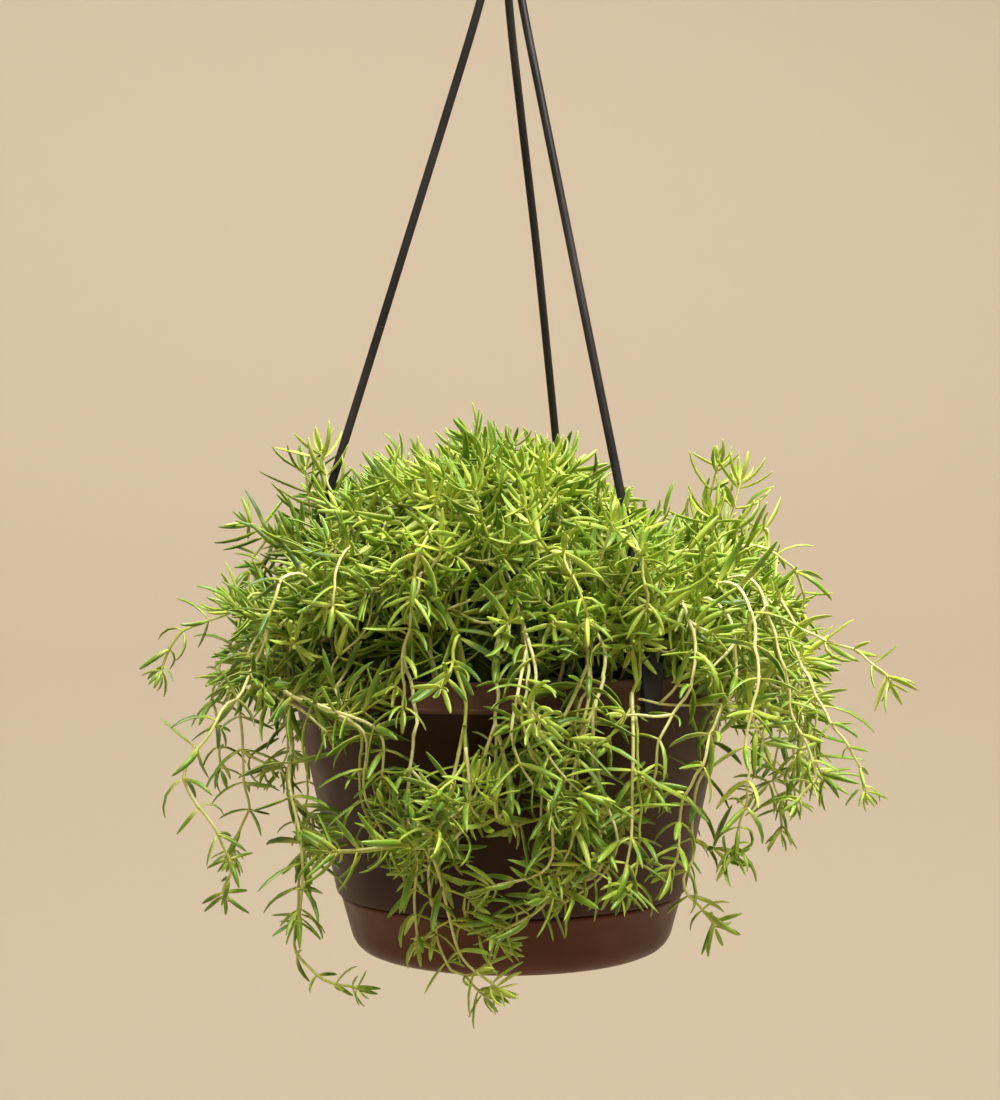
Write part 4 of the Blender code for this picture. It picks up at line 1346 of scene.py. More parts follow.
@dataclass
class Growth:
    """Collects the leaves and the stems of one piece and makes its mesh."""

    name: str
    rng: random.Random
    leaves: list[tuple[float, ...]] = field(default_factory=list)
    lines: list[list[Vector]] = field(default_factory=list)
    radii: list[list[float]] = field(default_factory=list)
    tones: list[list[Place]] = field(default_factory=list)
    habit: Habit = Habit()

    def add(self, shoot: Shoot, pot: PotShape) -> None:
        """Draw a shoot's stem, its leaves, its tip and its side shoots.

        Args:
            shoot: the shoot to draw.
            pot: what the leaves stay clear of.
        """
        rng, habit = self.rng, self.habit
        whorls = shoot.whorls()
        self.add_stem(shoot, whorls)
        spin = rng.uniform(0, 360)
        total = shoot.route.total
        for k, place in enumerate(whorls):
            share = (place - shoot.bare) / max(total - shoot.bare, 1.0)
            count = 3 if rng.random() < habit.threes else 2
            size = shoot.leaf * (1.0 - habit.tip_shrink * share**3) * rng.uniform(*habit.sizes)
            lean = shoot.lean + habit.open_lean - habit.tip_fold * share**3
            tone = shoot.tone + habit.tip_tone * share - habit.root_tone + rng.gauss(0, habit.joint_tones)
            if pot.is_bare(shoot.route.at(place)):
                if rng.random() < habit.bare_skip:
                    continue
                count, size = 2, size * habit.bare_size
            self.add_whorl(shoot, place, count, spin + k * 60, lean, size, tone)
        for k in range(shoot.rosette):
            size = shoot.leaf * (0.62 - 0.20 * k) * rng.uniform(0.9, 1.1)
            place = total - 2.4 + 1.6 * k
            self.add_whorl(shoot, min(place, total - 0.1), 3, spin + 60 * k + 25, 66 - 26 * k, size,
                           shoot.tone + 0.14 + 0.05 * k)
        self.add_branches(shoot, whorls, pot)

    def add_stem(self, shoot: Shoot, whorls: list[float]) -> None:
        """The stem's rings of points, a little thicker at each joint.

        Args:
            shoot: the shoot to draw.
            whorls: the lengths at which leaves grow.
        """
        habit, end = self.habit, shoot.route.total - 1.0
        stops = {0.0, end}
        for place in whorls:
            stops.update((place - habit.joint_height, place, place + habit.joint_height))
        starts = [0.0, *whorls]
        for a, b in zip(starts, [*whorls, shoot.route.total]):
            count = int((b - a) / habit.ring_spacing)
            stops.update(a + (b - a) * (i + 1) / (count + 1) for i in range(count))
        marks = sorted(stop for stop in stops if 0.0 <= stop <= end)
        marks = [m for i, m in enumerate(marks) if i == 0 or m - marks[i - 1] > 0.4]
        joints = set(whorls)
        line, radii, tones = [], [], []
        for mark in marks:
            share = mark / shoot.route.total
            swell = habit.joint_swell if mark in joints else 1.0
            line.append(shoot.route.at(mark))
            radii.append(shoot.radius * (1 - habit.stem_taper * share) * swell)
            tones.append((shoot.woody, share, float(mark in joints)))
        radii[-1] *= 0.6
        self.lines.append(line)
        self.radii.append(radii)
        self.tones.append(tones)

    def add_whorl(self, shoot: Shoot, place: float, count: int, spin: float, lean: float, size: float,
                  tone: float) -> None:
        """A ring of leaves at one joint.

        Args:
            shoot: the shoot.
            place: the joint, along the shoot.
            count: how many leaves.
            spin: the first one's turn round the stem.
            lean: degrees from the stem's direction.
            size: the leaves' length.
            tone: how young a green they have.
        """
        rng, habit = self.rng, self.habit
        root, stem = shoot.route.at(place), shoot.route.direction(place)
        side = stem.cross(Vector((0.3, 0.2, 1.0))).normalized()
        other = stem.cross(side)
        for j in range(count):
            angle = math.radians(spin + j * 360 / count + rng.uniform(-habit.turns, habit.turns))
            tilt = math.radians(lean + rng.uniform(-habit.leans, habit.leans))
            out = side * math.cos(angle) + other * math.sin(angle)
            along = stem * math.cos(tilt) + out * math.sin(tilt)
            along.z += shoot.lift * rng.uniform(*habit.lifts)
            along.normalize()
            up = stem + Vector((0, 0, 0.35))
            up = up - along * up.dot(along)
            up.normalize()
            roll = math.radians(rng.gauss(0, habit.rolls))
            up = up * math.cos(roll) + along.cross(up) * math.sin(roll)
            length = size * rng.uniform(*habit.lengths)
            width = habit.width * (0.40 + 0.60 * length / habit.full_length) * rng.uniform(*habit.widths)
            bend = rng.gauss(*habit.bends)
            thickness = width * rng.uniform(*habit.thicknesses)
            leaf_tone = tone + rng.gauss(0, habit.leaf_tones)
            foot = root + out * 0.4 * shoot.radius * MM
            self.leaves.append((*foot, *along, *up, length, width, thickness, bend, leaf_tone))

    def add_branches(self, shoot: Shoot, whorls: list[float], pot: PotShape) -> None:
        """Short side shoots from joints along the shoot.

        Args:
            shoot: the shoot.
            whorls: its joints.
            pot: what the leaves stay clear of.
        """
        rng = self.rng
        joints = whorls[1:-3]
        if not joints:
            return
        for place in rng.sample(joints, min(shoot.branches, len(joints))):
            root, stem = shoot.route.at(place), shoot.route.direction(place)
            flat = Vector((root.x, root.y, 0))
            outward = flat.normalized() * (0.4 if flat.length < 135 * MM else -0.5)
            loose = Vector((rng.uniform(-1, 1), rng.uniform(-1, 1), rng.uniform(-0.4, 1)))
            way = outward + loose * 0.8
            way = (way - stem * way.dot(stem)).normalized()
            first = (stem * 0.62 + way * 0.78).normalized()
            length = rng.uniform(*shoot.branch_length) * MM
            rise = Vector((0, 0, rng.uniform(0.05, 0.3)))
            points = [root, root + first * length * 0.35, root + (first * 0.72 + rise * 0.5) * length,
                      root + (first * 0.98 + rise + stem * 0.1) * length]
            points = clear_points(points, pot, 2.2)
            branch = Shoot(
                Route(points), radius=shoot.radius * 0.82, bare=5.0, spacing=shoot.spacing * 0.84,
                leaf=shoot.leaf * 0.92, tone=shoot.tone + rng.uniform(0.0, 0.16), lean=shoot.lean - 6,
                lift=shoot.lift, woody=shoot.woody + 0.2,
            )
            self.add(branch, pot)

    def make(self, pattern: Pattern, pot: PotShape) -> bpy.types.Object:
        """Make the piece: its leaves, then its stems, in one mesh, without the leaves that nothing shows.

        Args:
            pattern: the leaf.
            pot: what the leaves stay clear of.

        Returns:
            The piece.
        """
        self.leaves = [leaf for leaf in self.leaves if not pot.is_buried(leaf)]
        stems = Bench.tubes(self.name, self.lines, self.radii, 1)
        marks = [mark for tones in self.tones for mark in tones]
        around = len(stems.data.vertices) // len(marks)
        growth = stems.data.attributes.new("growth", "FLOAT_VECTOR", "POINT")
        values = np.repeat(np.array(marks), around, axis=0)
        if len(values) != len(stems.data.vertices):
            raise ValueError(f"{self.name}: the stem's rings don't match its marks")
        growth.data.foreach_set("vector", values.ravel())
        stems.data.polygons.foreach_set("use_smooth", np.ones(len(stems.data.polygons), bool))
        piece = Bench.join([self.leaf_mesh(pattern, pot), stems])
        piece.name = piece.data.name = self.name
        return piece

    def leaf_mesh(self, pattern: Pattern, pot: PotShape) -> bpy.types.Object:
        """Every leaf of the piece, each a bent copy of the pattern.

        Args:
            pattern: the leaf.
            pot: what the leaves stay clear of.

        Returns:
            The leaves in one mesh.
        """
        shape, faces = pattern
        rows = np.array(self.leaves)
        root, along, up = rows[:, 0:3], rows[:, 3:6], rows[:, 6:9]
        length, width, thick, bend, tone = rows[:, 9:14].T
        bend = np.where(np.abs(bend) < 0.02, 0.02, bend)
        across = np.cross(along, up)
        far = shape[:, 1][None, :]
        angle = bend[:, None] * far
        reach = (np.sin(angle) / bend[:, None])[..., None] * along[:, None, :]
        rise = ((1 - np.cos(angle)) / bend[:, None])[..., None] * up[:, None, :]
        middle = root[:, None, :] + (reach + rise) * (length * MM)[:, None, None]
        tall = np.cos(angle)[..., None] * up[:, None, :] - np.sin(angle)[..., None] * along[:, None, :]
        points = middle + across[:, None, :] * (shape[:, 0][None, :] * (width * MM)[:, None])[..., None]
        points += tall * (shape[:, 2][None, :] * (thick * MM)[:, None])[..., None]
        ease = np.clip(far * 3.0, 0, 1)
        points += pot.push(middle, 1.0 + width[:, None] * 0.2) * ease[..., None]
        edge = np.abs(shape[:, 0])
        widest = np.array([edge[np.abs(shape[:, 1] - y) < 1e-3].max() for y in shape[:, 1]])
        spread = np.where(widest > 1e-4, edge / np.maximum(widest, 1e-6), 0.5)
        growth = np.empty((len(rows), len(shape), 3))
        growth[..., 0] = tone[:, None]
        growth[..., 1] = far
        growth[..., 2] = spread[None, :]
        return copies(self.name + "_leaves", points, faces, growth)


def copies(name: str, points: np.ndarray, faces: list[tuple[int, ...]], growth: np.ndarray) -> bpy.types.Object:
    """One mesh of many copies of a pattern.

    Args:
        name: the object's name.
        points: the places of every copy's points, copy by copy.
        faces: the pattern's faces.
        growth: the growth attribute at every point.

    Returns:
        The object, with every face on material index 0.
    """
    count, size = points.shape[:2]
    corners = np.array([corner for face in faces for corner in face])
    sizes = np.array([len(face) for face in faces])
    starts = np.concatenate(([0], np.cumsum(sizes)[:-1]))
    loops = (corners[None, :] + (np.arange(count) * size)[:, None]).ravel()
    begin = (starts[None, :] + (np.arange(count) * len(corners))[:, None]).ravel()
    mesh = bpy.data.meshes.new(name)
    mesh.vertices.add(count * size)
    mesh.vertices.foreach_set("co", points.astype(np.float32).ravel())
    mesh.loops.add(len(loops))
    mesh.loops.foreach_set("vertex_index", loops.astype(np.int32))
    mesh.polygons.add(len(begin))
    mesh.polygons.foreach_set("loop_start", begin.astype(np.int32))
    mesh.polygons.foreach_set("use_smooth", np.ones(len(begin), bool))
    mesh.update(calc_edges=True)
    attribute = mesh.attributes.new("growth", "FLOAT_VECTOR", "POINT")
    attribute.data.foreach_set("vector", growth.astype(np.float32).ravel())
    piece = bpy.data.objects.new(name, mesh)
    bpy.context.scene.collection.objects.link(piece)
    return piece


def clear_points(points: list[Vector], pot: PotShape, clearance: float) -> list[Vector]:
    """The points, all but the first moved clear of the pot and the strands.

    Args:
        points: places in metres.
        pot: what they stay clear of.
        clearance: millimetres.

    Returns:
        The places.
    """
    places = np.array([tuple(point) for point in points])
    moved = places + pot.push(places, clearance)
    return [points[0]] + [Vector(place) for place in moved[1:]]


@dataclass
class Canopy:
    """The outside of the whole plant, as distance and height from its top down one side."""

    outline: tuple[tuple[float, float], ...] = (
        (0, 272), (60, 271), (94, 264), (112, 250), (124, 232), (135, 210), (148, 188), (163, 166),
        (174, 140), (176, 105), (168, 65),
    )
    heart: tuple[float, float] = (45.0, 165.0)
    front: float = 0.88
    back: float = 0.95
    left: float = 0.94
    dips: tuple[tuple[float, float, float, float], ...] = (
        (60, -98, 36, 30), (88, -10, 46, 42), (84, 60, 50, 34), (-84, -15, 46, 20),
    )

    def __post_init__(self) -> None:
        """Find the length down the outline at each of its points."""
        points = np.array(self.outline, float)
        steps = np.hypot(*np.diff(points, axis=0).T)
        self.lengths = np.concatenate(([0.0], np.cumsum(steps)))
        self.points = points

    def squash(self, turn: float) -> float:
        """The share of the side's distance that the canopy has at this turn.

        Args:
            turn: degrees from the front.

        Returns:
            The share.
        """
        front = max(0.0, math.cos(math.radians(turn))) ** 1.5
        back = max(0.0, -math.cos(math.radians(turn))) ** 1.5
        left = max(0.0, -math.sin(math.radians(turn))) ** 3
        return 1 - (1 - self.front) * front - (1 - self.back) * back - (1 - self.left) * left

    def at(self, turn: float, down: float, depth: float) -> Vector:
        """A place on the canopy, or under it.

        Args:
            turn: degrees from the front.
            down: millimetres down the outline from the top.
            depth: millimetres towards the plant's heart.

        Returns:
            The place, in metres.
        """
        if down < 0:
            turn, down = turn + 180, -down
        radius = float(np.interp(down, self.lengths, self.points[:, 0]))
        height = float(np.interp(down, self.lengths, self.points[:, 1]))
        gap = math.hypot(radius - self.heart[0], height - self.heart[1])
        radius += (self.heart[0] - radius) / gap * depth
        height += (self.heart[1] - height) / gap * depth
        place = spot(turn, radius * self.squash(turn), height)
        for x, y, wide, deep in self.dips:
            gap = math.hypot(place.x / MM - x, place.y / MM - y)
            place.z -= deep * math.exp(-((gap / wide) ** 2)) * MM
        return place

    def radius(self, down: float) -> float:
        """The distance from the axis this far down the outline."""
        return max(float(np.interp(abs(down), self.lengths, self.points[:, 0])), 25.0)


@dataclass
class Plant:
    """The sedum: named stems as the CAD has them, the crown, and the many stems between them."""

    finishes: Finishes
    pot: PotShape
    canopy: Canopy = field(default_factory=Canopy)
    soil_top: float = 140.0
    hole_depth: float = 14.0
    outer_ring: float = 112.0
    inner_ring: float = 101.0
    pale: tuple[str, ...] = (
        "stem_pale_front", "stem_pale_right", "stem_long_right", "stem_white_right", "stem_low_front")
    brown: tuple[str, ...] = ("stem_brown_front", "stem_mound_09")
    crown_shoots: int = 38
    crown_heart: float = 174.0
    crown_start: float = 33.0
    crown_spread: float = 108.0
    crown_reach: tuple[float, float] = (60.0, 73.0)
    crown_shrink: float = 0.24
    domes: int = 68
    shoulders: int = 104
    skirts: int = 15
    fringes: int = 22
    flanks: int = 14
    sprigs: tuple[Place, ...] = ((-106, -8, 280), (-116, 4, 272), (118, -6, 272), (130, -12, 262),
                                  (52, -126, 238), (66, -128, 224), (78, -122, 214))
    stems_a_piece: int = 22
    seed: int = 7

    def build(self) -> None:
        """Grow and dress every piece of the plant, the same way each time."""
        noise.seed_set(self.seed)
        pattern = LeafPattern().build()
        self.heart()
        for name, (kind, route) in self.routes().items():
            self.stem_piece(name, kind, route, pattern)
        self.crown(pattern)
        self.fillers(pattern)

    def finish(self, growth: Growth, node: str | None, slot: str, pattern: Pattern) -> None:
        """Make a growth's mesh and dress it.

        Args:
            growth: the leaves and stems.
            node: the CAD node that it replaces, or None.
            slot: the record's material slot.
            pattern: the leaf.
        """
        piece = growth.make(pattern, self.pot)
        faces = len(piece.data.polygons)
        leaf_faces = len(growth.leaves) * len(pattern[1])
        slots = np.zeros(faces, np.int32)
        slots[leaf_faces:] = 1
        dress(piece, node, slot, self.finishes.leaf, self.finishes.stem)
        piece.data.polygons.foreach_set("material_index", slots)
        piece.data.update()

    def routes(self) -> dict[str, tuple[Kind, Route]]:
        """Every named stem, as the CAD has it.

        Returns:
            How it grows and its line, by name.
        """
        routes = {}
        for name, (turn, ring, arch, seen) in FRONT_STEMS.items():
            ring_radius = self.outer_ring if ring == "outer" else self.inner_ring
            routes[name] = (Kind.HANGING, Route(self.front_route(turn, ring_radius, arch, seen)))
        for i, stem in enumerate(MOUND_STEMS, 1):
            routes[f"stem_mound_{i:02d}"] = (Kind.ARCHING, Route(self.arching_route(*stem)))
        for i, stem in enumerate(TRAILING_STEMS, 1):
            routes[f"stem_trail_{i:02d}"] = (Kind.HANGING, Route(self.arching_route(*stem)))
        return routes

    def front_route(self, turn: float, ring: float, arch: float, seen: tuple) -> list[Vector]:
        """A stem's points: out of the soil, over the rim, then along the places that the front shows.

        Args:
            turn: the root's turn.
            ring: its distance from the axis.
            arch: the arch's height.
            seen: x, y and height of what shows.

        Returns:
            The points, in metres.
        """
        x, y = seen[0][:2]
        reach, seen_turn = math.hypot(x, y), math.degrees(math.atan2(x, -y))
        points = [
            spot(turn, ring, self.soil_top - self.hole_depth + 1.0),
            spot(turn, ring, self.soil_top + 14.0),
            spot(turn + (seen_turn - turn) * 0.3, ring + (reach - ring) * 0.2, arch - 9.0),
            spot(turn + (seen_turn - turn) * 0.75, ring + (reach - ring) * 0.7, arch),
        ]
        return points + [seen_place(*place) for place in seen]

    def arching_route(self, turn: float, reach: float, arch: float, tip: float, sway: float) -> list[Vector]:
        """A stem's points: out of the soil, up to the arch and out and down to the tip.

        Args:
            turn: the root's turn.
            reach: the tip's distance from the axis.
            arch: the arch's height.
            tip: the tip's height.
            sway: degrees that it strays sideways.

        Returns:
            The points, in metres.
        """
        ring = self.inner_ring if arch > 200 else self.outer_ring
        span, fall = reach - ring, arch - tip
        return [
            spot(turn, ring, self.soil_top - self.hole_depth + 1.0),
            spot(turn, ring, self.soil_top + 14.0),
            spot(turn + sway * 0.1, ring + span * 0.18, arch - 14.0),
            spot(turn + sway * 0.4, ring + span * 0.5, arch),
            spot(turn + sway * 0.8, ring + span * 0.88, arch - fall * 0.3),
            spot(turn + sway, ring + span, arch - fall * 0.7),
            spot(turn + sway, ring + span * 0.96, tip),
        ]

    @staticmethod
    def tone_with_painted_light(place: Vector) -> float:
        """How young a green the plant has here, with painted light and shade in it: limier to the right and above,
        as if lit from the upper right, and bluer low on the left and darker low down, as painted shade.

        Args:
            place: a place in metres.

        Returns:
            The tone, about 0 to 1.
        """
        # Painted light and shade: the greens turn limier to the right and upward where the light falls, and darker
        # low down, most of all low on the right under the mound.
        side = place.x / (220 * MM)
        rise = (place.z / MM + HANG_HEIGHT - 150) / 130
        weight = 0.08 if side < 0 else 0.15 if rise > 0 else 0.28
        return 0.48 + (0.30 if side < 0 else 0.18) * side + weight * max(-1.2, min(rise, 1.0))

    def waver(self, route: Route, reach: float) -> None:
        """Let a stem stray a little from its line, more so away from its root, clear of the pot.

        Args:
            route: the stem's line.
            reach: millimetres that it may stray.
        """
        for i, point in enumerate(route.points):
            ease = min(route.lengths[i] / 60.0, 1.0)
            sway = noise.noise_vector(point * 24.0) + noise.noise_vector(point * 80.0) * 0.3
            route.points[i] = point + sway * (reach * ease * MM)
        first = bisect.bisect_left(route.lengths, 40.0)
        route.points[first:] = clear_points(route.points[first:], self.pot, 1.8)
        route.measure()

    def stem_piece(self, name: str, kind: Kind, route: Route, pattern: Pattern) -> None:
        """One named stem with its leaves and side shoots.

        Args:
            name: its CAD node.
            kind: how it grows.
            route: its line.
            pattern: the leaf.
        """
        rng = random.Random(name)
        route.shorten(STEM_SHARES.get(name, 1.0))
        self.waver(route, 8.0)
        growth = Growth("leafy_" + name, rng)
        tone = self.tone_with_painted_light(route.points[-1]) + rng.gauss(0, 0.05)
        green = 0.0 if route.points[-1].x > 70 * MM else 0.28
        woody = 0.22 if name in self.brown else 0.55 if name in self.pale else rng.uniform(0.45, 0.85) + green
        if name in self.pale:
            tone += 0.12
        branches = BRANCHES.get(name, 1 if kind is Kind.ARCHING else 2)
        leaf = rng.uniform(25, 31) * LEAF_SHARES.get(name, 1.0)
        main = Shoot(
            route, radius=1.12, bare=26.0, spacing=14.0, leaf=leaf, tone=tone, lift=0.2, branches=branches,
            woody=woody,
        )
        growth.add(main, self.pot)
        for side, low, high in COMPANIONS.get(name, ()):
            line = self.companion(route, side, low, high)
            beside = Shoot(
                Route(line), radius=1.0, bare=6.0, spacing=14.5, leaf=rng.uniform(26, 31),
                tone=tone + rng.uniform(-0.05, 0.1), lift=0.2, branches=2, woody=0.8,
            )
            growth.add(beside, self.pot)
        slot = "sedum_pale" if name in self.pale else "sedum_brown" if name in self.brown else "sedum_green"
        self.finish(growth, name, slot, pattern)

    def companion(self, route: Route, side: float, low: float, high: float) -> list[Vector]:
        """Points of a side stem that leaves a stem and runs on beside it.

        Args:
            route: the stem's line.
            side: how far it strays to the right, in millimetres; to the left if it is negative.
            low: share of the stem's length at which it leaves.
            high: share of the stem's length at which it ends.

        Returns:
            The points, in metres.
        """
        points = []
        for i in range(5):
            share = low + (high - low) * i / 4
            point = route.at(route.total * share)
            outward = Vector((point.x, point.y, 0)).normalized()
            aside = Vector((-outward.y, outward.x, 0))
            points.append(point + (aside * side + outward * 5.0) * (i / 4) ** 0.7 * MM)
        return clear_points(points, self.pot, 2.2)

    def heart(self) -> None:
        """The tangle inside the plant: a rough dome painted in the dark greens of shade, standing on the soil."""
        profile = [(0.0, 139.0), *self.pot.core, (0.0, 231.0)]
        piece = Bench.turn("inner_growth", profile, 64)
        Bench.pick(piece)
        bpy.ops.object.mode_set(mode="EDIT")
        bpy.ops.mesh.select_all(action="SELECT")
        bpy.ops.mesh.subdivide(number_cuts=1)
        bpy.ops.object.mode_set(mode="OBJECT")
        centre = seen_place(0, 0, 175)
        for vert in piece.data.vertices:
            if vert.co.z > level(144):
                turn = math.degrees(math.atan2(vert.co.x, -vert.co.y))
                squash = self.canopy.squash(turn)
                rough = noise.noise(vert.co * 42.0) * 9.0 + noise.noise(vert.co * 130.0) * 6.0
                vert.co.x *= squash
                vert.co.y *= squash
                vert.co += (vert.co - centre).normalized() * (rough * MM)
        Bench.shade(piece, 180)
        dress(piece, None, "sedum_green", self.finishes.heart)

    def crown(self, pattern: Pattern) -> None:
        """The crown's short shoots, spread evenly over its core.

        Args:
            pattern: the leaf.
        """
        rng = random.Random(self.seed)
        growth = Growth("crown_shoots", rng)
        up = Vector((0, 0, 1))
        heart = seen_place(0, 0, self.crown_heart)
        for i in range(self.crown_shoots):
            share = (i + 0.5) / self.crown_shoots
            angle = math.radians(i * GOLDEN_TURN)
            outward = Vector((math.sin(angle), -math.cos(angle), 0))
            tilt = math.acos(1 - share * (1 - math.cos(math.radians(self.crown_spread))))
            start = heart + (up * math.cos(tilt) + outward * math.sin(tilt)) * (self.crown_start * MM)
            lean = tilt * 0.8 + math.radians(rng.uniform(-8, 8))
            reach = (up * math.cos(lean) + outward * math.sin(lean)) * MM
            reach *= rng.uniform(*self.crown_reach) * (1 - self.crown_shrink * share)
            bend = Vector((rng.uniform(-5, 5), rng.uniform(-5, 5), 0)) * MM
            route = Route([start, start + reach * 0.5 + bend, start + reach])
            tone = self.tone_with_painted_light(route.points[-1]) + rng.gauss(0, 0.06)
            shoot = Shoot(
                route, radius=1.1, bare=20.0, spacing=13.0, leaf=rng.uniform(28, 34), tone=tone, lean=62.0,
                lift=0.1, woody=0.8,
            )
            growth.add(shoot, self.pot)
        self.finish(growth, "crown", "sedum_green", pattern)

    def fillers(self, pattern: Pattern) -> None:
        """The stems between the named ones: over the dome, on its shoulders, and hanging at the sides and back.

        Args:
            pattern: the leaf.
        """
        rng = random.Random(self.seed + 1)
        groups = {}
        for name, count, grow in (
            ("dome_stems", self.domes, self.dome_stem),
            ("shoulder_stems", self.shoulders, self.shoulder_stem),
            ("skirt_stems", self.skirts, self.skirt_stem),
            ("fringe_stems", self.fringes, self.fringe_stem),
            ("shoulder_stems", self.flanks, self.flank_stem),
            ("dome_stems", len(self.sprigs), self.sprig),
        ):
            groups.setdefault(name, []).extend([grow(i, rng) for i in range(count)])
        for name, shoots in groups.items():
            parts = math.ceil(len(shoots) / self.stems_a_piece)
            for part in range(parts):
                growth = Growth(f"{name}_{part + 1}", random.Random(f"{name}{part}"))
                for shoot in shoots[part::parts]:
                    growth.add(shoot, self.pot)
                self.finish(growth, None, "sedum_green", pattern)

    def filler(self, points: list[Vector], rng: random.Random, bare: float, branches: int) -> Shoot:
        """A shoot along the points, kept clear of the pot.

        Args:
            points: places in metres.
            rng: the source of chance.
            bare: length without leaves.
            branches: side shoots.

        Returns:
            The shoot.
        """
        route = Route(points)
        route.points = clear_points(route.points, self.pot, 1.8)
        route.measure()
        tone = self.tone_with_painted_light(route.points[-1]) + rng.gauss(0, 0.17)
        return Shoot(
            route, radius=1.0, bare=bare, spacing=rng.uniform(13, 16), leaf=rng.uniform(28, 36), tone=tone,
            lean=64.0, branches=branches, woody=rng.uniform(0.4, 0.9),
        )

    def surface_stem(self, turn: float, down: float, heading: float, run: float, depth: float,
                     rng: random.Random) -> list[Vector]:
        """Points of a stem that rises from the soil and then runs along the canopy with its tip turned out.

        Args:
            turn: the tip's turn.
            down: the tip's place down the canopy's outline.
            heading: the way that it runs, in degrees from straight down the outline.
            run: millimetres that it runs along the canopy.
            depth: how deep under the canopy it runs.
            rng: the source of chance.

        Returns:
            The points, in metres.
        """
        way = math.radians(heading)
        points = []
        for share, deeper in ((1.0, 15.0), (0.62, 4.0), (0.28, 0.0), (0.0, -7.0)):
            bend = math.radians(rng.uniform(-14, 14))
            back = run * share
            far = down - back * math.cos(way + bend)
            aside = math.degrees(back * math.sin(way + bend) / self.canopy.radius((down + far) / 2))
            points.append(self.canopy.at(turn - aside, far, depth + deeper))
        points[-1].z += rng.uniform(0, 8) * MM
        first = points[0]
        reach = Vector((first.x, first.y, 0)).length / MM
        first_turn = math.degrees(math.atan2(first.x, -first.y))
        root = min(max(reach * rng.uniform(0.6, 0.85), 8), 110)
        rise = first.z / MM + HANG_HEIGHT
        low = spot(first_turn + rng.uniform(-8, 8), root, ROOT_HEIGHT)
        return [low, low + Vector((rng.uniform(-9, 9), rng.uniform(-9, 9), 24)) * MM,
                (low + first) / 2 + Vector((0, 0, min(20.0, (rise - 150) * 0.3) * MM)), *points]

    def dome_stem(self, i: int, rng: random.Random) -> Shoot:
        """A stem over the top of the plant.

        Args:
            i: its number.
            rng: the source of chance.

        Returns:
            The shoot.
        """
        turn = i * GOLDEN_TURN + rng.uniform(-9, 9)
        down = 112 * math.sqrt((i + 0.5) / self.domes)
        depth = rng.choice((0, 2, 5, 9, 14, 20)) + rng.uniform(-2, 3)
        heading = rng.gauss(0, 80)
        points = self.surface_stem(turn, down, heading, rng.uniform(40, 80), depth, rng)
        return self.filler(points, rng, 42, rng.choice((0, 1, 1)))

    def shoulder_stem(self, i: int, rng: random.Random) -> Shoot:
        """A stem that bends over the plant's shoulder.

        Args:
            i: its number.
            rng: the source of chance.

        Returns:
            The shoot.
        """
        turn = (i * SPREADS[2] * 360 + rng.uniform(-6, 6)) % 360 - 180
        lowest = 196 if abs(turn) < 38 else 215 if abs(turn) < 60 else 236
        share = (i * SPREADS[1] + rng.uniform(-0.03, 0.03)) % 1.0
        down = 105 + (lowest - 105) * share
        depth = rng.choice((0, 0, 3, 7, 13)) + rng.uniform(-2, 3)
        points = self.surface_stem(turn, down, rng.gauss(0, 48), rng.uniform(50, 90), depth, rng)
        return self.filler(points, rng, 36 if down < 170 else 18, rng.choice((0, 1, 1, 2)))

    def fringe_stem(self, i: int, rng: random.Random) -> Shoot:
        """A stem that leans out over the rim at the front.

        Args:
            i: its number.
            rng: the source of chance.

        Returns:
            The shoot.
        """
        turn = -62 + 124 * (i * SPREADS[0] % 1.0) + rng.uniform(-4, 4)
        down = 158 + 48 * (i * SPREADS[1] % 1.0)
        if -30 < turn < 3 or 19 < turn < 40:
            down = min(down, 182)
        points = self.surface_stem(turn, down, rng.gauss(0, 40), rng.uniform(40, 74), rng.uniform(-3, 6), rng)
        return self.filler(points, rng, 18, rng.choice((0, 1, 1)))

    def flank_stem(self, i: int, rng: random.Random) -> Shoot:
        """A stem low on the left or the right of the front.

        Args:
            i: its number.
            rng: the source of chance.

        Returns:
            The shoot.
        """
        turn = (46 + 40 * (i * SPREADS[0] % 1.0)) * (1 if i % 2 else -1)
        down = 192 + 68 * (i * SPREADS[1] % 1.0)
        points = self.surface_stem(turn, down, rng.gauss(0, 44), rng.uniform(50, 84), rng.uniform(2, 14), rng)
        return self.filler(points, rng, 18, 1)

    def sprig(self, i: int, rng: random.Random) -> Shoot:
        """A stem that stands out above the canopy, with its tip at a place of its own.

        Args:
            i: its number.
            rng: the source of chance.

        Returns:
            The shoot.
        """
        x, y, height = self.sprigs[i]
        tip = seen_place(x, y, height)
        root = spot(math.degrees(math.atan2(x, -y)), min(math.hypot(x, y) * 0.75, 105), ROOT_HEIGHT)
        middle = root.lerp(tip, 0.55) + Vector((rng.uniform(-8, 8), rng.uniform(-8, 8), 10)) * MM
        return self.filler([root, root + Vector((0, 0, 24 * MM)), middle, tip], rng, 60, 1)

    def skirt_stem(self, i: int, rng: random.Random) -> Shoot:
        """A stem that hangs below the rim at the sides and the back.

        Args:
            i: its number.
            rng: the source of chance.

        Returns:
            The shoot.
        """
        first, last = 80, 254
        turn = first + (last - first) * (i + rng.uniform(0.1, 0.9)) / self.skirts
        down = rng.uniform(232, 318)
        depth = rng.uniform(0, 30)
        drift = rng.uniform(-12, 12)
        points = [
            spot(turn - drift, rng.uniform(100, 113), ROOT_HEIGHT),
            spot(turn - drift, 113, 160),
            self.canopy.at(turn - drift * 0.7, 150, depth * 0.5 + 16),
            self.canopy.at(turn - drift * 0.3, 195, depth * 0.8 + 6),
            self.canopy.at(turn, (195 + down) / 2, depth),
            self.canopy.at(turn, down - 10, depth + 3),
            self.canopy.at(turn, down, depth - 6),
        ]
        return self.filler(points, rng, 40, rng.choice((0, 1, 2)))


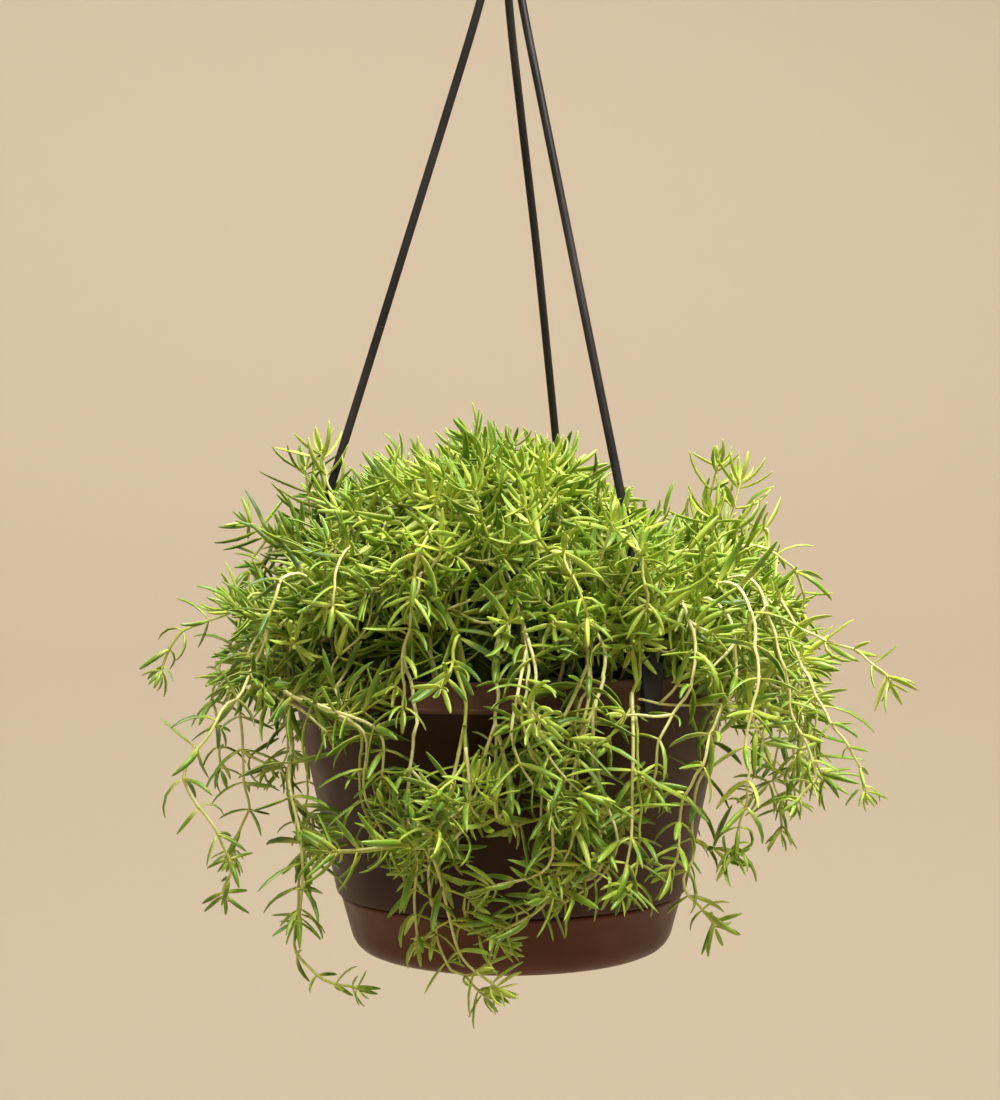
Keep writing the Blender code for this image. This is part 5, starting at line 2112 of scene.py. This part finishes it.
# Stems that the front shows: turn and ring of the root, height of the arch over the rim, then x, y and height
FRONT_STEMS = {
    "stem_edge_left": (-74, "outer", 200, (
        (-150, -44, 190), (-170, -46, 182), (-187, -46, 167), (-193, -47, 150))),
    "stem_straight_left": (-69, "outer", 182, (
        (-140, -76, 151), (-140, -89, 122), (-140, -89, 102), (-142, -87, 84), (-143, -86, 67))),
    "stem_bow_left": (-61, "inner", 196, (
        (-130, -80, 167), (-116, -98, 152), (-91, -113, 147), (-78, -121, 136), (-77, -120, 110),
        (-71, -121, 93), (-61, -124, 78))),
    "stem_long_left": (-56, "outer", 196, (
        (-116, -87, 150), (-117, -94, 128), (-116, -102, 104), (-108, -109, 81), (-113, -105, 46),
        (-111, -107, 23), (-96, -118, 8), (-73, -130, 4))),
    "stem_outer_left": (-50, "inner", 206, (
        (-134, -103, 152), (-152, -118, 131), (-163, -119, 110), (-158, -117, 90), (-141, -103, 67),
        (-145, -94, 43))),
    "stem_pale_front": (-24, "inner", 212, (
        (-48, -134, 179), (-52, -137, 164), (-56, -136, 144))),
    "stem_low_front": (-19, "outer", 184, (
        (-50, -128, 138), (-50, -128, 106), (-43, -127, 75), (-42, -125, 47), (-36, -126, 25),
        (-20, -127, 13), (-11, -128, -2))),
    "stem_cross_left": (-11, "outer", 182, (
        (-26, -133, 138), (-22, -134, 101), (-31, -138, 85), (-60, -137, 80), (-85, -128, 77),
        (-97, -120, 77))),
    "stem_rosette_front": (-4, "outer", 186, (
        (-8, -136, 140), (-8, -134, 110), (-14, -138, 93), (-18, -145, 101), (-17, -149, 114))),
    "stem_cross_front": (3, "inner", 201, (
        (5, -142, 158), (6, -144, 129), (20, -146, 111), (39, -145, 96))),
    "stem_brown_front": (12, "outer", 192, (
        (35, -133, 167), (35, -135, 144), (31, -134, 118), (28, -131, 85))),
    "stem_curl_front": (20, "outer", 188, (
        (43, -137, 142), (44, -136, 109), (44, -133, 83), (39, -131, 63), (9, -133, 45), (-8, -132, 36))),
    "stem_right_front": (27, "outer", 184, (
        (63, -130, 138), (62, -130, 108), (64, -127, 81), (59, -125, 54))),
    "stem_pale_right": (41, "outer", 192, (
        (89, -122, 158), (81, -127, 140), (73, -129, 122), (69, -129, 102))),
    "stem_long_right": (47, "outer", 194, (
        (112, -110, 153), (99, -123, 129), (89, -127, 108), (78, -125, 61))),
    "stem_low_right": (50, "inner", 180, (
        (105, -86, 144), (101, -88, 104), (93, -99, 69), (89, -103, 49), (105, -90, 28))),
    "stem_white_right": (58, "outer", 200, (
        (121, -119, 157), (120, -122, 128), (118, -120, 104), (112, -115, 74))),
    "stem_side_right": (62, "inner", 204, (
        (134, -106, 164), (146, -112, 133), (149, -111, 111), (137, -112, 95))),
    "stem_far_right": (67, "outer", 198, (
        (151, -94, 182), (176, -106, 166), (197, -115, 157), (209, -118, 155))),
    "stem_small_right": (72, "inner", 196, (
        (153, -84, 163), (166, -98, 134), (177, -101, 117), (181, -100, 99))),
}

# Side shoots on the stems that the front shows bushy or bare
BRANCHES = {
    "stem_edge_left": 0, "stem_straight_left": 2, "stem_bow_left": 4, "stem_long_left": 1, "stem_outer_left": 1,
    "stem_low_front": 4, "stem_cross_left": 3, "stem_rosette_front": 3, "stem_cross_front": 2,
    "stem_brown_front": 1, "stem_curl_front": 4, "stem_right_front": 1, "stem_pale_right": 2,
    "stem_long_right": 1, "stem_low_right": 1, "stem_far_right": 1, "stem_small_right": 1,
}

# Stems whose leafy tips are drawn back, as a share of their length
STEM_SHARES = {"stem_edge_left": 0.94, "stem_far_right": 0.91}

# Stems with shorter leaves, as a share of the others'
LEAF_SHARES = {
    "stem_edge_left": 0.8, "stem_outer_left": 0.92, "stem_long_left": 0.76, "stem_straight_left": 0.78,
    "stem_far_right": 0.82, "stem_small_right": 0.8, "stem_side_right": 0.85,
}

# Stems that run beside another one: how far aside, and the shares of its length at which they leave and end
COMPANIONS = {
    "stem_low_front": ((-9, 0.52, 0.86), (14, 0.62, 0.97)),
    "stem_cross_left": ((8, 0.5, 0.8), (-13, 0.45, 0.9)),
    "stem_rosette_front": ((-14, 0.58, 0.92), (12, 0.58, 0.95)),
    "stem_cross_front": ((9, 0.5, 0.95), (-12, 0.56, 0.98)),
    "stem_brown_front": ((-14, 0.52, 1.0), (8, 0.5, 1.0)),
    "stem_curl_front": ((-20, 0.42, 0.78), (12, 0.5, 0.9), (6, 0.7, 1.0), (-38, 0.44, 0.84)),
    "stem_right_front": ((-9, 0.5, 1.0),),
    "stem_bow_left": ((7, 0.55, 1.0), (-16, 0.42, 0.78), (18, 0.5, 0.86)),
    "stem_long_left": ((8, 0.5, 0.8),),
}

# Arching stems: turn of the root, distance reached, height of the arch and of the tip, and sway in degrees
MOUND_STEMS = (
    (-95, 154, 230, 192, -5), (-40, 152, 222, 190, 4), (-14, 150, 236, 194, -5), (8, 152, 226, 188, 6),
    (29, 152, 232, 192, -3), (78, 164, 226, 186, 4), (92, 150, 244, 206, -5), (112, 168, 220, 176, 6),
    (132, 152, 242, 202, -6), (152, 168, 222, 180, -4), (174, 152, 242, 204, 6), (192, 168, 220, 174, -5),
    (212, 150, 242, 206, 6), (230, 168, 224, 182, -6), (250, 158, 238, 198, 6),
)

# Trailing stems round the sides and the back, the same way
TRAILING_STEMS = (
    (-103, 176, 192, 96, 6), (-121, 158, 190, 40, -6), (-139, 180, 194, 112, 7), (-157, 152, 188, 22, -7),
    (-174, 176, 192, 96, 6), (168, 150, 186, 46, -5), (150, 174, 194, 118, -6), (128, 154, 190, 30, 7),
    (108, 180, 194, 104, -7), (88, 160, 190, 58, 6),
)


# ---------------------------------------------------------------- studio


@dataclass(frozen=True)
class Lamp:
    """A square soft light: its place and what it is aimed at in metres, its side and its power in watts."""

    name: str
    place: Place
    size: float
    power: float
    colour: Colour
    aim: Place = (0.0, 0.0, -0.42)

    def build(self) -> None:
        """Hang the lamp, out of the camera's sight."""
        data = bpy.data.lights.new(self.name, "AREA")
        data.size = self.size
        data.energy = self.power
        data.color = self.colour
        lamp = bpy.data.objects.new(self.name, data)
        lamp.location = self.place
        lamp.visible_camera = False
        lamp.rotation_euler = (Vector(self.aim) - Vector(self.place)).to_track_quat("-Z", "Y").to_euler()
        bpy.context.scene.collection.objects.link(lamp)


@dataclass
class Studio:
    """The stage, the lights and the camera, in metres."""

    wall_colour: Colour = linear(204, 192, 173)
    floor_drop: float = 0.9
    sweep: float = 0.9
    radius: float = 3.0
    camera_place: Place = (0.0, -1.067, -0.4168)
    focal: float = 61.69
    shift: tuple[float, float] = (-0.0086, 0.0)
    roll: float = 0.35
    air: float = 0.22
    lamps: tuple[Lamp, ...] = (
        Lamp("key_light", (0.55, -0.8, 1.5), 0.7, 70.0, (1.0, 0.97, 0.92)),
        Lamp("top_light", (0.45, -0.05, 1.35), 1.3, 56.0, (1.0, 0.98, 0.95)),
        Lamp("fill_light", (-1.5, -1.3, 0.0), 1.2, 2.0, (0.96, 0.98, 1.0)),
        Lamp("wall_light", (0.0, 1.1, 1.5), 1.6, 14.0, (1.0, 0.98, 0.95), (0.0, 3.0, 0.8)),
    )

    def build(self) -> None:
        """Set up the stage, the lights and the camera."""
        self.stage()
        self.world()
        for lamp in self.lamps:
            lamp.build()
        self.camera()

    def stage(self) -> None:
        """A round floor that curves up into a wall."""
        floor = -HANG_HEIGHT - self.floor_drop / MM
        profile = [(0.0, floor), (200.0, floor), ((self.radius - self.sweep) / MM, floor)]
        steps = 12
        for step in range(1, steps + 1):
            angle = math.radians(step * 90 / steps)
            out = self.radius - self.sweep + self.sweep * math.sin(angle)
            profile.append((out / MM, floor + self.sweep * (1 - math.cos(angle)) / MM))
        profile.append((self.radius / MM, floor + 4200.0))
        Bench.clear()
        bpy.ops.mesh.primitive_circle_add(vertices=96, radius=0.2, fill_type="TRIFAN")
        stage = bpy.context.object
        stage.name = stage.data.name = "studio_stage"
        bpy.ops.object.mode_set(mode="EDIT")
        bpy.ops.mesh.select_mode(type="VERT")
        bpy.ops.mesh.select_all(action="SELECT")
        bpy.ops.transform.translate(value=(0, 0, floor * MM))
        bpy.ops.mesh.select_all(action="DESELECT")
        bpy.ops.mesh.select_non_manifold()
        ring = profile[1]
        for radius, height in profile[2:]:
            Bench.draw_ring(radius / ring[0], height - ring[1])
            ring = (radius, height)
        Bench.close(inside=True)
        Bench.shade(stage, 60)
        stage.data.materials.append(StagePaint("stage_paint", self.wall_colour).make())
        stage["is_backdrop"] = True
        log.info("studio_stage: %d faces", len(stage.data.polygons))

    def world(self) -> None:
        """An even, slightly warm light from all round."""
        world = bpy.data.worlds.new("studio_air")
        world.use_nodes = True
        background = world.node_tree.nodes["Background"]
        background.inputs["Color"].default_value = (*linear(250, 244, 232), 1.0)
        background.inputs["Strength"].default_value = self.air
        bpy.context.scene.world = world
        bpy.context.scene.view_settings.view_transform = "Standard"

    def camera(self) -> None:
        """The camera at the photograph's viewing angle."""
        data = bpy.data.cameras.new("photo_camera")
        data.sensor_width = 36.0
        data.lens = self.focal
        data.shift_x, data.shift_y = self.shift
        camera = bpy.data.objects.new("photo_camera", data)
        camera.location = self.camera_place
        camera.rotation_euler = (math.radians(90), math.radians(self.roll), 0)
        bpy.context.scene.collection.objects.link(camera)
        bpy.context.scene.camera = camera


# ---------------------------------------------------------------- the whole


def write_sizes(before: tuple[Vector, Vector], after: tuple[Vector, Vector]) -> None:
    """Args:
        before: the CAD's box.
        after: the visual model's box.
    """
    for axis, name in enumerate("xyz"):
        log.info("%s: CAD %.4f..%.4f, visual %.4f..%.4f", name, before[0][axis], before[1][axis],
                 after[0][axis], after[1][axis])


def main() -> None:
    """Build the basket, its hanger, the plant and the studio."""
    logging.basicConfig(level=logging.INFO, format="%(message)s", stream=sys.stdout)
    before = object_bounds()
    studio = Studio()
    studio.build()
    finishes = Finishes()
    basket = Basket(finishes)
    basket.build()
    hanger = Hanger(finishes)
    hanger.build()
    strands = [np.array([tuple(p) for p in smooth_path(hanger.route(name), 30.0)]) for name in hanger.turns]
    plant = Plant(finishes, PotShape(strands))
    plant.build()
    write_sizes(before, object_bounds())


if __name__ == "__main__":
    main()
